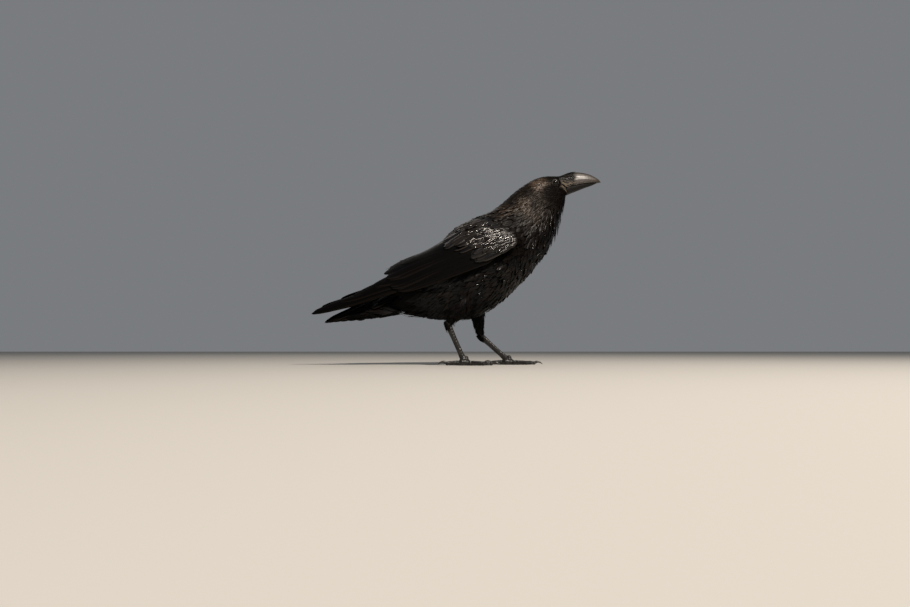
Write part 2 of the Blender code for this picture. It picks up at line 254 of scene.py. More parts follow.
def newMaterial(name, **values):
    material = bpy.data.materials.new(name)
    material.use_nodes = True
    tree = material.node_tree
    inputs = {key.replace("_", " "): value for key, value in values.items()}
    return material, setInputs(tree.nodes["Principled BSDF"], inputs), functools.partial(addNode, tree)


def setRamp(node, stops):
    elements = node.color_ramp.elements
    while len(elements) < len(stops):
        elements.new(0.5)
    for element, (position, colour) in zip(elements, stops):
        element.position = position
        element.color = (*linear(colour), 1)
    return node


def paintedFloor():
    # matt emulsion on board: even and pale, with a faint roller stipple
    material, shader, add = newMaterial("matt floor paint", Base_Color="#aeaca7", Roughness=0.85)
    stipple = add("TexNoise", {"Vector": add("TexCoord").outputs["Object"], "Scale": 220.0, "Detail": 3.0})
    setInputs(shader, {"Normal": add("Bump", {"Height": stipple, "Strength": 0.05, "Distance": 0.4 * mm})})
    return material


featherLook = {
    "black": "#050404",  # melanin black
    "brown": "#2c241d",  # silky nape and ear coverts browned by wear; on the ear, brightened further as a painted highlight
    "pale": "#74695a",  # a painted highlight: the sunlit black bristles at the corner of the mouth, painted pale
    "edge": "#120f0d",  # rims of the vanes: browner with wear, and lighter as a painted highlight along each edge
    "velvet": 0.3,  # how much rougher the short soft feathers of the face and neck are
    "barbStep": 0.6,  # mm from barb to barb, coarser than the real 0.3 so that they show
    "barbHeight": 0.04,  # mm
}


def featherMaterial(name, roughness, brown=featherLook["brown"], level=0.15, edge=featherLook["edge"]):
    # keratin barbs full of melanin: black with a satin gloss along each barb, browner with wear, with rims
    # paler partly from wear and partly as a painted highlight
    # the barbs trap much of what a smooth sheet of it would reflect, so the gloss is cut down
    material, shader, add = newMaterial(name, Roughness=roughness, IOR=1.55)
    tint, across, zone, barb, matt = (add("Attribute", attribute_name=label).outputs["Fac"]
                                      for label in ("tint", "across", "zone", "barb", "matt"))
    body = add("Mix", {"Factor": zone, "A": featherLook["black"], "B": brown}, data_type="RGBA")
    # the rims: wear, and a painted highlight along each edge
    rim = add("MapRange", {"Value": add("Math ABSOLUTE", [across]), "From Min": 0.6, "To Max": 0.6})
    wearAndPaintedLight = add("Mix", {"Factor": rim, "A": body, "B": edge}, data_type="RGBA")
    # where the zone passes 1, as on the ear coverts, the brown is brightened up to four times as a painted
    # highlight
    toneTopAndHighlight = add("MapRange", {"Value": zone, "From Min": 1, "From Max": 2, "To Min": 1.4, "To Max": 4})
    tone = add("MapRange", {"Value": tint, "To Min": 0.6, "To Max": toneTopAndHighlight})
    # barbs leave the shaft at a slant on both sides of it
    wave = add("Math SINE", [add("Math MULTIPLY", [barb, math.tau / (featherLook["barbStep"] * mm)])])
    depth = featherLook["barbHeight"] * mm
    plain = add("MapRange", {"Value": matt, "To Min": 0.5, "To Max": 0.12})
    gloss = add("MapRange", {"Value": tint, "To Min": roughness + 0.1, "To Max": roughness - 0.1})
    setInputs(shader, {
        "Base Color": add("VectorMath SCALE", {0: wearAndPaintedLight, "Scale": tone}),
        "Normal": add("Bump", {"Height": wave, "Strength": plain, "Distance": depth}),
        "Roughness": add("Math MULTIPLY_ADD", [matt, featherLook["velvet"], gloss]),
        "Specular IOR Level": add("MapRange", {"Value": matt, "To Min": level, "To Max": level * 0.2}),
    })
    return material


def hornMaterial(name, dark, pale, roughness, grain, shine=1.0):
    # beak and claw keratin: dark slate, polished by wear, with fine growth lines along it and pale edges from
    # wear, and darker where the bill carries painted shade
    material, shader, add = newMaterial(name, Roughness=roughness, IOR=1.54, Specular_IOR_Level=0.5 * shine,
                                        Coat_Weight=0.2 * shine, Coat_Roughness=0.3)
    place = add("TexCoord").outputs["Object"]
    long = add("Mapping", {"Vector": place, "Scale": (0.22, 1.0, 1.0)})
    lines = add("TexNoise", {"Vector": long, "Scale": grain, "Detail": 5.0})
    cloud = add("TexNoise", {"Vector": place, "Scale": 140.0, "Detail": 3.0})
    mixed = add("Math MULTIPLY_ADD", [cloud, 0.25, lines])
    level = add("MapRange", {"Value": mixed, "From Min": 0.3, "From Max": 1.3})
    share = add("Math ADD", [add("Attribute", attribute_name="wearAndPaintedLight").outputs["Fac"], level])
    setInputs(shader, {
        "Base Color": add("Mix", {"Factor": share, "A": dark, "B": pale}, data_type="RGBA"),
        "Roughness": add("MapRange", {"Value": cloud, "From Min": 0.3, "From Max": 0.7,
                                      "To Min": roughness - 0.07, "To Max": roughness + 0.12}),
        "Normal": add("Bump", {"Height": lines, "Strength": 0.35, "Distance": 0.3 * mm}),
    })
    return material


def scuteMaterial():
    # scaly leg skin: hard glossy grey plates, with black painted shade in the creases between them and
    # between the pads
    material, shader, add = newMaterial("leg scutes", Roughness=0.36, IOR=1.5, Specular_IOR_Level=0.4,
                                        Coat_Weight=0.12, Coat_Roughness=0.15)
    place = add("TexCoord").outputs["Object"]
    crease, scute = (add("Attribute", attribute_name=label).outputs["Fac"] for label in ("crease", "scute"))
    cloud = add("TexNoise", {"Vector": place, "Scale": 260.0, "Detail": 4.0})
    plate = setRamp(add("ValToRGB", [cloud]), [(0.35, "#0b0a0a"), (0.72, "#211e1b")])
    # painted shade: black in the creases
    colour = add("Mix", {"Factor": crease, "A": plate, "B": "#040404"}, data_type="RGBA")
    tone = add("MapRange", {"Value": scute, "To Min": 0.4, "To Max": 1.9})
    pebbles = add("TexVoronoi", {"Vector": place, "Scale": 750.0})
    setInputs(shader, {
        "Base Color": add("VectorMath SCALE", {0: colour, "Scale": tone}),
        "Roughness": add("MapRange", {"Value": scute, "To Min": 0.6, "To Max": 0.24}),
        "Normal": add("Bump", {"Height": pebbles, "Strength": 0.3, "Distance": 0.2 * mm}, invert=True),
    })
    return material


def eyeMaterial():
    # a wet dark eye: black pupil in a deep brown iris, all under a clear glossy cornea
    material, shader, add = newMaterial("wet dark eye", Roughness=0.08, IOR=1.38)
    gaze = add("Attribute", attribute_name="gaze").outputs["Fac"]
    fibres = add("TexNoise", {"Vector": add("TexCoord").outputs["Object"], "Scale": 900.0, "Detail": 2.0})
    rings = [(0.0, "#010101"), (0.27, "#010101"), (0.31, "#1a0e08"), (0.55, "#100a06"), (0.62, "#050404")]
    setInputs(shader, {
        "Base Color": setRamp(add("ValToRGB", [gaze]), rings),
        "Roughness": add("MapRange", {"Value": fibres, "To Min": 0.08, "To Max": 0.2}),
    })
    return material


def lidMaterial():
    # bare wrinkled skin of the eyelids: dark grey, softly shining, paler on its beads and darker in the
    # hollows between them as painted shade
    material, shader, add = newMaterial("bare lid skin", Roughness=0.45, IOR=1.45)
    beads = add("TexVoronoi", {"Vector": add("TexCoord").outputs["Object"], "Scale": 1300.0})
    setInputs(shader, {
        "Base Color": setRamp(add("ValToRGB", [beads]), [(0, "#231f1c"), (1, "#0d0c0b")]),
        "Normal": add("Bump", {"Height": beads, "Strength": 0.5, "Distance": 0.2 * mm}, invert=True),
    })
    return material


def joinedNodes(name, members, knobs=()):
    # copies of the frame's solids in one object, the points of each merged, and round knobs where given
    form = bmesh.new()
    for member in members:
        form.from_mesh(nodes[member].data)
    bmesh.ops.remove_doubles(form, verts=form.verts, dist=0.01 * mm)
    for centre, radius in knobs:
        bmesh.ops.create_icosphere(form, subdivisions=3, radius=radius, matrix=Matrix.Translation(centre))
    mesh = bpy.data.meshes.new(name)
    form.to_mesh(mesh)
    form.free()
    return newObject(name, mesh)


def fineCopy(name, members, voxel, rounds, knobs=()):
    # the solids as one closed even surface fine enough to shape
    thing = joinedNodes(name, members, knobs)
    evened(thing, rounds, voxel)
    return thing


def solidTree(members):
    # a search tree of the solids, and their points
    thing = joinedNodes("solid", members)
    found = treeOf(thing), pointsOf(thing.data)
    bpy.data.objects.remove(thing)
    return found


skinDepth = {  # mm under the tips of the coat: on the face and heels, and on the body
    "thin": 1.3, "thick": 4.2,
    "voxel": 1.8, "band": 9, "crumb": 4000.0,  # mm, mm, points of the largest loose crumb
    "faceX": (0.118, 0.145), "faceZ": (0.262, 0.285), "heelZ": (0.068, 0.092),  # metres: from thick to thin
    "behind": -0.03, "slope": 0.4,  # metres: no heels are behind this, and how fast their zone ends there
    "probe": 0.05, "share": 0.38,  # metres: the deepest look inside; how much of a thin part may go
    "rounds": 12, "matt": 0.5,
}


def shrinkTree():
    # one surface at an even depth below another
    tree, add, start = newTree("shrink", {"Voxel": "Float", "Band": "Float", "Depth": "Float",
                                          "Material": "Material"})
    fog = add("MeshToVolume", {"Mesh": start["Geometry"], "Voxel Size": start["Voxel"],
                               "Interior Band Width": start["Band"]}, resolution_mode="VOXEL_SIZE")
    share = add("Math DIVIDE", [start["Depth"], start["Band"]])
    shell = add("VolumeToMesh", {"Volume": fog, "Threshold": share})
    # crumbs left where a thin part has shrunk away are dropped
    island = add("InputMeshIsland").outputs["Island Index"]
    crumbs = add("AccumulateField", {"Value": 1.0, "Group ID": island}, data_type="FLOAT", domain="POINT")
    small = add("Math LESS_THAN", [crumbs.outputs["Total"], skinDepth["crumb"]])
    kept = add("DeleteGeometry", {"Geometry": shell, "Selection": small})
    whole = add("RealizeInstances", [kept])
    add("GroupOutput", [add("SetMaterial", {"Geometry": whole, "Material": start["Material"]})])
    return tree


def paint(thing, material):
    thing.data.materials.clear()
    thing.data.materials.append(material)
    thing.data.polygons.foreach_set("material_index", np.zeros(len(thing.data.polygons), np.int32))


def treeOf(thing):
    mesh = thing.data
    return BVHTree.FromPolygons([point.co for point in mesh.vertices],
                                [face.vertices[:] for face in mesh.polygons])


def makeSkin(surface, material):
    skin = newObject("skin", surface.data.copy())
    useTree(skin, shrinkTree(), {"Voxel": skinDepth["voxel"] * mm, "Band": skinDepth["band"] * mm,
                                 "Depth": skinDepth["thin"] * mm, "Material": material})
    mesh = evaluated(skin)
    points, normals = pointsOf(mesh), normalsOf(mesh)
    tree = treeOf(skin)
    # the rest of the depth, where the body is thick enough to give it
    most, behind = skinDepth["probe"], skinDepth["behind"]
    thickness = np.full(len(points), most)
    for i, (point, normal) in enumerate(zip(points, normals)):
        far = tree.ray_cast(Vector(point - normal * 0.2 * mm), Vector(-normal), most)[3]
        if far is not None:
            thickness[i] = far
    x, _, z = points.T
    face = smoothstep(*skinDepth["faceX"], x) * smoothstep(*skinDepth["faceZ"], z)
    heel = 1 - smoothstep(*skinDepth["heelZ"], z - skinDepth["slope"] * np.clip(behind - x, 0, 1))
    deep = (skinDepth["thick"] - skinDepth["thin"]) * mm * (1 - np.maximum(face, heel * (x > behind)))
    setPoints(mesh, points - normals * np.minimum(deep, thickness * skinDepth["share"])[:, None])
    evened(skin, skinDepth["rounds"])
    paint(skin, material)
    looks = coatAt(pointsOf(skin.data))
    storeValue(skin.data, "zone", looks["zone"])
    storeValue(skin.data, "matt", np.maximum(looks["matt"], skinDepth["matt"]))
    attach(skin, "root")
    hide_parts(*flesh)
    print("skin", len(skin.data.polygons), "faces")


# feathers: where each kind is full and where it narrows, how blunt its tip is, its crown and shaft in mm,
# how ragged it is, and its grid
vaneFields = ("full", "narrow", "blunt", "crown", "shaft", "fringe", "rings", "sides")
vanes = {name: dict(zip(vaneFields, row)) for name, row in {
    "covert": (0.25, 0.70, 2.0, 1.3, 0.15, 0.015, 11, 6),
    "hackle": (0.30, 0.30, 1.1, 0.9, 0.0, 0.03, 8, 2),
    "remex": (0.10, 0.80, 1.8, 1.0, 0.35, 0.006, 26, 8),
    "round": (0.35, 0.45, 1.4, 0.9, 0.0, 0.05, 8, 4),
    "rectrix": (0.10, 0.84, 2.2, 1.0, 0.35, 0.006, 28, 8),
    "tiny": (0.30, 0.45, 1.5, 0.9, 0.0, 0.04, 5, 2),
}.items()}
kindNumber = {name: i for i, name in enumerate(sorted(vanes))}
vaneThickness = 0.18  # mm at the shaft


def vaneOutline(t, kind):
    rise = np.clip(t / kind["full"], 0, 1) ** 0.6
    late = np.clip((t - kind["narrow"]) / (1 - kind["narrow"]), 0, 1)
    return rise * (1 - late ** kind["blunt"]) ** (1 / kind["blunt"])


def makeVane(name, kind):
    # a closed thin vane of unit length and width, flat, with its relief in mm kept as an attribute
    rings, sides = kind["rings"], kind["sides"]
    steps = np.append((np.arange(rings) + 0.35) / rings, 0.985)
    random = np.random.default_rng(kindNumber[name] + 40)
    ragged = 1 - random.uniform(0, 3 * kind["fringe"], (len(steps), 2))
    fringe = random.uniform(-kind["fringe"], kind["fringe"], sides + 1)
    tops = np.linspace(-1, 1, sides + 1)
    turn = [*tops, *tops[-2:0:-1]]
    rows = [((0, 0, 0), 0.0, 0.0, 0.0)]
    for t, wear in zip(steps, ragged):
        half = 0.5 * vaneOutline(t, kind)
        for i, v in enumerate(turn):
            torn = 1 - (1 - wear[int(v > 0)]) * abs(v) * smoothstep(0.4, 0.8, t)
            column = i if i <= sides else 2 * sides - i
            reach = t + fringe[column] * smoothstep(0.5, 0.75, t) * (2 * half) ** 1.5
            crown = kind["crown"] * (1 - v * v) * 2 * half + kind["shaft"] * max(0, 1 - 5 * abs(v)) * (1 - t)
            under = 0 if i <= sides else vaneThickness * (1 - abs(v)) ** 0.5
            rows.append(((reach, v * half * torn, 0), t, v, crown - under))
    points, *values = zip(*rows, ((1, 0, 0), 1.0, 0.0, 0.0))
    count = len(turn)
    last = len(points) - 1 - count
    faces = [(one + i, one + count + i, one + count + (i + 1) % count, one + (i + 1) % count)
             for one in range(1, last, count) for i in range(count)]
    for i in range(count):
        k = (i + 1) % count
        faces += [(0, 1 + i, 1 + k), (last + i, len(points) - 1, last + k)]
    mesh = meshFrom(name, points, faces)
    for label, value in zip(("along", "across", "relief"), values):
        storeValue(mesh, label, value)
    mesh.shade_smooth()
    rim = {1 + r * count + i for r in range(len(steps)) for i in (0, sides)}
    sharp = mesh.attributes.new("sharp_edge", "BOOLEAN", "EDGE")
    for edge in mesh.edges:
        sharp.data[edge.index].value = edge.vertices[0] in rim and edge.vertices[1] in rim
    return bpy.data.objects.new(name, mesh)


def vaneCollection():
    # the sorted names give each kind its number
    kept = bpy.data.collections.new("vanes")
    for name in vanes:
        kept.objects.link(makeVane(name, vanes[name]))
    return kept


# What each root carries, with its type. The looks stay on the feathers, for their material.
lookValues = ("tint", "zone", "matt")
rootValues = {
    **dict.fromkeys(("feather", "kind"), "INT"),
    **dict.fromkeys(("lie", "up", "size", "sweep", "patch"), "FLOAT_VECTOR"),
    **dict.fromkeys(("sink", "rise", "hug", "roll", *lookValues), "FLOAT"),
}
patchSize = 0.003


def coatTree():
    # sets a vane on each root, then lays it along a surface: low at the root, over its neighbours at the tip
    tree, add, start = newTree("lay feathers", {"Vanes": "Collection", "Surface": "Object", "Patch": "Float",
                                                "Material": "Material"})
    fields = {**rootValues, "along": "FLOAT", "across": "FLOAT", "relief": "FLOAT"}
    own = {name: add("InputNamedAttribute", {"Name": name}, data_type=kind)
           for name, kind in fields.items() if name not in ("feather", *lookValues)}
    along, across = own["along"], own["across"]
    turn = add("AxesToRotation", {"Primary Axis": own["lie"], "Secondary Axis": own["up"]},
               primary_axis="X", secondary_axis="Z")
    shapes = add("CollectionInfo", {"Collection": start["Vanes"], "Separate Children": True,
                                    "Reset Children": True})
    stood = add("InstanceOnPoints", {"Points": start["Geometry"], "Instance": shapes, "Pick Instance": True,
                                     "Instance Index": own["kind"], "Rotation": turn, "Scale": own["size"]})
    squared = add("Math MULTIPLY", [along, along])
    bend = add("VectorMath SCALE", {0: own["sweep"], "Scale": squared})
    flat = add("VectorMath ADD", [add("InputPosition"), bend])
    surface = add("ObjectInfo", {"Object": start["Surface"]}).outputs["Geometry"]
    ground, facing = (add("SampleNearestSurface",
                          {"Mesh": surface, "Value": add(field), "Sample Position": flat},
                          data_type="FLOAT_VECTOR") for field in ("InputPosition", "InputNormal"))
    # height over the surface in mm: sunk at the root, risen at the tip, rolled, with the vane's own relief
    climb = add("Math POWER", [along, 0.75])
    low = add("Math MULTIPLY", [add("Math SUBTRACT", [1.0, climb]), own["sink"]])
    lift = add("Math SUBTRACT", [add("Math MULTIPLY", [climb, own["rise"]]), low])
    twist = add("Math MULTIPLY", [across, along])
    lift = add("Math MULTIPLY_ADD", [twist, own["roll"], lift])
    spread = add("SeparateXYZ", [own["size"]]).outputs
    lift = add("Math MULTIPLY_ADD", [own["relief"], spread["Z"], lift])
    height = add("Math MULTIPLY", [lift, mm])
    laid, free = (add("VectorMath ADD", [base, add("VectorMath SCALE", {0: way, "Scale": height})])
                  for base, way in ((ground, facing), (flat, own["up"])))
    place = add("Mix", {0: own["hug"], 4: free, 5: laid}, data_type="VECTOR")
    moved = add("SetPosition", {"Geometry": add("RealizeInstances", [stood]), "Position": place})
    # how far out each barb starts along the shaft, in metres, as barbs slant back to the tip
    slant = add("Math MULTIPLY", [spread["Y"], -0.55])
    inward = add("Math MULTIPLY", [add("Math ABSOLUTE", [across]), slant])
    barb = add("Math MULTIPLY_ADD", [along, spread["X"], inward])
    barbed = add("StoreNamedAttribute", {"Geometry": moved, "Name": "barb", "Value": barb},
                 data_type="FLOAT", domain="POINT")
    shift = add("CombineXYZ", {"X": along, "Y": add("Math MULTIPLY", [across, 0.5])})
    patch = add("VectorMath SCALE", {0: shift, "Scale": start["Patch"]})
    patch = add("VectorMath ADD", [own["patch"], patch])
    mapped = add("StoreNamedAttribute", {"Geometry": barbed, "Name": "OFBake", "Value": patch},
                 data_type="FLOAT2", domain="CORNER")
    add("GroupOutput", [add("SetMaterial", {"Geometry": mapped, "Material": start["Material"]})])
    return tree


misfit = {  # what a feather may do before it is left out
    "stretch": 2.0, "slack": 1.6,  # times its own length that an edge may reach, and mm more
    "up": 0.2, "front": 0.06,  # those that face up more, or are in front of this in metres, can't poke out
    "astray": 0.8, "off": 7.5,  # how true the tip stays to the lie, and mm that it may stand off the body
}


def tornFeathers(mesh, roots):
    # the feathers with an edge stretched far beyond its own length, where the surface under them jumps
    one, two = readAll(mesh.edges, "vertices", 2, np.int32).T
    points, feather = pointsOf(mesh), readValues(mesh, "feather")
    measures = ((0, 1, readValues(mesh, "along")), (1, 0.5, readValues(mesh, "across")))
    steps = [(values[one] - values[two]) * roots["size"][feather[one], axis] * share
             for axis, share, values in measures]
    length = np.linalg.norm(points[one] - points[two], axis=1)
    return np.unique(feather[one][length > misfit["stretch"] * np.hypot(*steps) + misfit["slack"] * mm])


def pokingFeathers(mesh, roots, tree):
    # the feathers of the flank that would come out through the folded wing
    points, feather = pointsOf(mesh), readValues(mesh, "feather")
    under = (roots["up"][:, 2] < misfit["up"]) & (roots["place"][:, 0] < misfit["front"])
    poking = feather[under[feather] & np.any([wing["pokes"](points) for wing in wings], axis=0)]
    # and those that a hollow in the body would turn away from the rest
    tips = readValues(mesh, "along") > 0.999
    ends = feather[tips]
    way = unit(points[tips] - roots["place"][ends])
    astray = (way * roots["lie"][ends]).sum(axis=1) < misfit["astray"]
    astray |= np.array([tree.find_nearest(Vector(tip))[3] for tip in points[tips]]) > misfit["off"] * mm
    return np.union1d(poking, ends[astray])


def layCoat(name, roots, surface, material):
    mesh = bpy.data.meshes.new(name)
    mesh.vertices.add(len(roots["place"]))
    setPoints(mesh, roots["place"])
    for label, kind in rootValues.items():
        layer = mesh.attributes.new(label, kind, "POINT")
        values = np.asarray(roots[label], np.int32 if kind == "INT" else np.float32)
        layer.data.foreach_set("vector" if kind == "FLOAT_VECTOR" else "value", values.ravel())
    piece = newObject(name, mesh)
    useTree(piece, featherTree, {"Vanes": vaneShapes, "Surface": surface, "Patch": patchSize,
                                 "Material": material})
    evaluated(piece)
    return piece


def growCoat(name, roots, surface, material):
    # roots is a dictionary of arrays, one row a feather
    roots["feather"] = np.arange(len(roots["place"]))
    mesh = layCoat(name, roots, surface, material).data
    torn = tornFeathers(mesh, roots)
    if name.startswith("coat"):
        torn = np.union1d(torn, pokingFeathers(mesh, roots, treeOf(surface)))
    bpy.data.objects.remove(bpy.data.objects[name])
    whole = ~np.isin(roots["feather"], torn)
    piece = layCoat(name, chosen(roots, whole), surface, material)
    mesh = piece.data
    for label in [*rootValues, "relief"]:
        if label not in lookValues:
            mesh.attributes.remove(mesh.attributes[label])
    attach(piece, "root")
    print(name, whole.sum(), "feathers,", sum(len(face.vertices) - 2 for face in mesh.polygons), "triangles;",
          len(torn), "torn ones left out")


def chosen(roots, mask):
    return {name: values[mask] for name, values in roots.items()}


def together(*groups):
    return {name: np.concatenate([group[name] for group in groups]) for name in groups[0]}


def rowsOf(places, **values):
    # roots at these places: a value given once stands for every feather, and one not given is nought
    shapes = {name: (len(places), 3) if kind == "FLOAT_VECTOR" else len(places)
              for name, kind in rootValues.items() if name != "feather"}
    return {"place": places, **{name: np.array(np.broadcast_to(values.get(name, 0), shape))
                                for name, shape in shapes.items()}}


# How the coat lies: place on the body (x, side, z), lie (x, side, z), spacing, length, width, all in mm, then
# how far the tips rise, how closely the vane follows the body, its kind and its share of brown, where a share
# past 1 is brown brightened as a painted highlight.
coat = {
    "forehead": ((174, 0, 317), (-1, 0, 0.05), 1.5, 6, 2.0, 0.2, 1, "tiny", 0.05),
    "crown": ((147, 0, 316), (-1, 0.05, -0.12), 1.6, 8, 2.1, 0.2, 1, "tiny", 0.25),
    "lore": ((174, 15, 303), (-0.95, 0, 0.1), 1.3, 4.5, 1.6, 0.2, 1, "tiny", 0.0),
    "brow": ((161, 17, 309), (-1, 0, 0.0), 1.3, 5, 1.6, 0.2, 1, "tiny", 0.1),
    "cheek": ((157, 21, 287), (-0.85, 0, -0.5), 1.4, 6.5, 1.7, 0.2, 1, "tiny", 0.0),
    # the ear's share past 1 is brown brightened as a painted highlight
    "ear": ((141, 21, 303), (-0.9, 0, -0.42), 1.6, 9, 1.9, 0.4, 1, "tiny", 3.0),
    "chin": ((175, 7, 281), (-0.65, 0, -0.75), 1.7, 9, 2.0, 0.4, 1, "tiny", 0.0),
    "nape": ((115, 0, 301), (-0.8, 0, -0.6), 2.0, 15, 2.7, 0.1, 1, "hackle", 0.25),
    "cape": ((95, 22, 277), (-0.72, 0, -0.69), 2.3, 18, 3.4, 0.2, 1, "hackle", 0.2),
    "ear ridge": ((121, 26, 268), (-0.55, 0, -0.83), 2.0, 12, 2.8, 1.5, 1, "hackle", 1.8),
    "collar": ((88, 24, 256), (-0.8, 0, -0.6), 2.6, 16, 4.0, 3.0, 1, "hackle", 1.0),
    "neck base": ((98, 36, 236), (-0.72, 0, -0.7), 3.4, 16, 5.5, 0.0, 1, "hackle", 0.0),
    "neck back": ((122, 20, 288), (-0.75, 0, -0.65), 1.8, 12, 2.4, 0.1, 1, "hackle", 0.3),
    "neck side": ((127, 26, 268), (-0.6, 0, -0.8), 2.2, 15, 3.0, 0.3, 1, "hackle", 0.2),
    "throat": ((167, 10, 245), (-0.42, 0, -0.91), 2.8, 22, 3.5, 4.6, 0.85, "hackle", 0.08),
    "low throat": ((155, 18, 215), (-0.5, 0, -0.87), 3.3, 24, 4.6, 4.2, 0.85, "hackle", 0.05),
    "upper breast": ((143, 14, 188), (-0.58, 0, -0.81), 4.3, 20, 8.0, 1.0, 1, "round", 0.05),
    "shoulder": ((97, 42, 215), (-0.75, 0, -0.66), 4.2, 17, 8.0, 0.6, 1, "round", 0.05),
    "breast": ((113, 16, 148), (-0.72, 0, -0.7), 4.6, 20, 9.0, 0.9, 1, "round", 0.05),
    "low breast": ((57, 8, 98), (-0.92, 0, -0.4), 5.2, 23, 10, 0.6, 1, "round", 0.0),
    "belly": ((7, 6, 76), (-1, 0, -0.05), 5.6, 25, 10, 0.6, 1, "round", 0.0),
    "flank": ((59, 50, 150), (-0.86, 0, -0.5), 4.8, 21, 7.0, 2.0, 0.9, "hackle", 0.03),
    "rear flank": ((-13, 46, 115), (-0.93, 0, -0.36), 5.2, 26, 8.0, 2.0, 0.9, "hackle", 0.02),
    "vent": ((-65, 12, 82), (-1, 0, -0.08), 5.2, 32, 8.0, 4.2, 0.85, "hackle", 0.0),
    "under tail": ((-123, 20, 90), (-0.93, 0, 0.1), 5.2, 34, 9.0, 0.6, 1, "round", 0.0),
    "mantle side": ((57, 30, 240), (-0.86, 0.26, -0.44), 4.4, 20, 8.5, 1.0, 1, "round", 0.05),
    "back side": ((5, 22, 222), (-0.88, 0.2, -0.46), 5.8, 28, 14, 1.0, 1, "round", 0.0),
    "mantle": ((57, 0, 247), (-0.9, 0, -0.43), 5.2, 20, 11, 0.4, 1, "round", 0.05),
    "back": ((2, 0, 222), (-0.88, 0, -0.47), 5.5, 24, 12, 0.4, 1, "round", 0.0),
    "rump": ((-73, 0, 166), (-0.86, 0, -0.5), 6.0, 28, 13, 0.4, 0.6, "round", 0.0),
    "tail root": ((-118, 12, 132), (-0.88, 0, -0.5), 6.0, 32, 13, 0.3, 0.15, "round", 0.0),
    "right thigh": ((13, -36, 98), (-0.55, 0, -0.83), 4.6, 20, 8.0, 0.7, 0.9, "round", 0.0),
    "right knee": ((-3, -40, 80), (-0.5, 0, -0.86), 3.6, 13, 5.0, 0.7, 0.9, "round", 0.0),
    "right heel": ((-13, -37, 69), (-0.2, 0, -0.97), 2.0, 17, 3.4, 3.2, 0.8, "hackle", 0.0),
    "left thigh": ((33, 32, 96), (0.0, 0, -1), 4.6, 20, 8.0, 0.7, 0.9, "round", 0.0),
    "left knee": ((35, 37, 72), (0.1, 0, -1), 3.6, 13, 5.0, 0.7, 0.9, "round", 0.0),
    "left heel": ((37, 38, 53), (0.3, 0, -0.95), 2.0, 17, 3.4, 2.6, 0.8, "hackle", 0.0),
}


# how soft and dull the feathers of these places are, where they aren't plain
velvet = {
    "forehead": 0.5, "crown": 0.6, "lore": 1, "brow": 0.8, "cheek": 1.2, "chin": 1, "ear": 0.15,
    "ear ridge": 0.2, "neck base": 0.8, "neck side": 0.9, "neck back": 0.8, "nape": 0.9, "cape": 0.7,
    "collar": 0.3, "shoulder": 0.5,
    "belly": 1.5, "low breast": 0.8, "flank": -0.7, "rear flank": -0.6, "vent": 1.2, "under tail": 1.3,
    "right thigh": 1.1, "left thigh": 1.1, "right knee": 1.2, "left knee": 1.2,
}


def blended(apart, rows, names, kinds):
    # the rows weighed by how near each is, in metres: the weights, and the looks that they give the feathers
    weight = 1 / ((apart / mm) ** 4 + 3.0 ** 4)
    weight /= weight.sum(axis=1, keepdims=True)
    found = weight @ np.array(rows, float)
    looks = {name: found[:, 3 + i] for i, name in enumerate(names)}
    looks["kind"] = np.array([kindNumber[kind] for kind in kinds])[weight.argmax(axis=1)]
    return weight, found[:, :3], looks


def coatAt(points):
    # the coat's numbers at these points, blended between the places named above
    places = np.array([row[0] for row in coat.values()], float) * mm
    sided = np.array([name.startswith(("left", "right")) for name in coat])
    apart = points[:, None] - places[None]
    mirrored = np.abs(points[:, None, 1]) - places[None, :, 1]
    apart[..., 1] = np.where(sided, apart[..., 1], mirrored)
    rows = [[*row[1], *row[2:7], row[8]] for row in coat.values()]
    names, kinds = ("spacing", "length", "width", "rise", "hug", "zone"), [row[7] for row in coat.values()]
    weight, lie, looks = blended(np.linalg.norm(apart, axis=2), rows, names, kinds)
    lie[:, 1] *= np.sign(points[:, 1])
    return {**looks, "lie": unit(lie), "matt": weight @ np.array([velvet.get(name, 0.0) for name in coat])}


# mm, from the tail to the bill: x and height
spine = [(-223, 70), (-133, 100), (-98, 112), (-43, 128), (17, 150), (67, 182), (107, 216), (135, 258),
         (157, 292), (187, 300)]


def unwrapBody(points):
    # along the spine and round it: the body's own unwrap, 0 to 1 both ways
    line = np.array(spine, float) * mm
    starts, ways = line[:-1], line[1:] - line[:-1]
    lengths = np.linalg.norm(ways, axis=1)
    flat = points[:, None, [0, 2]] - starts
    share = (flat * ways).sum(axis=2) / lengths ** 2
    apart = flat - np.clip(share, 0, 1)[..., None] * ways
    rows, nearest = np.arange(len(points)), np.linalg.norm(apart, axis=2).argmin(axis=1)
    reached = np.concatenate([[0], np.cumsum(lengths)])
    run = (reached[nearest] + share[rows, nearest] * lengths[nearest]) / reached[-1]
    way, off = ways[nearest] / lengths[nearest, None], apart[rows, nearest]
    turn = np.arctan2(points[:, 1], off[:, 1] * way[:, 0] - off[:, 0] * way[:, 1])
    return columns(0.03 + 0.94 * np.clip(run, 0, 1), 0.5 + 0.47 * turn / math.pi, 0)


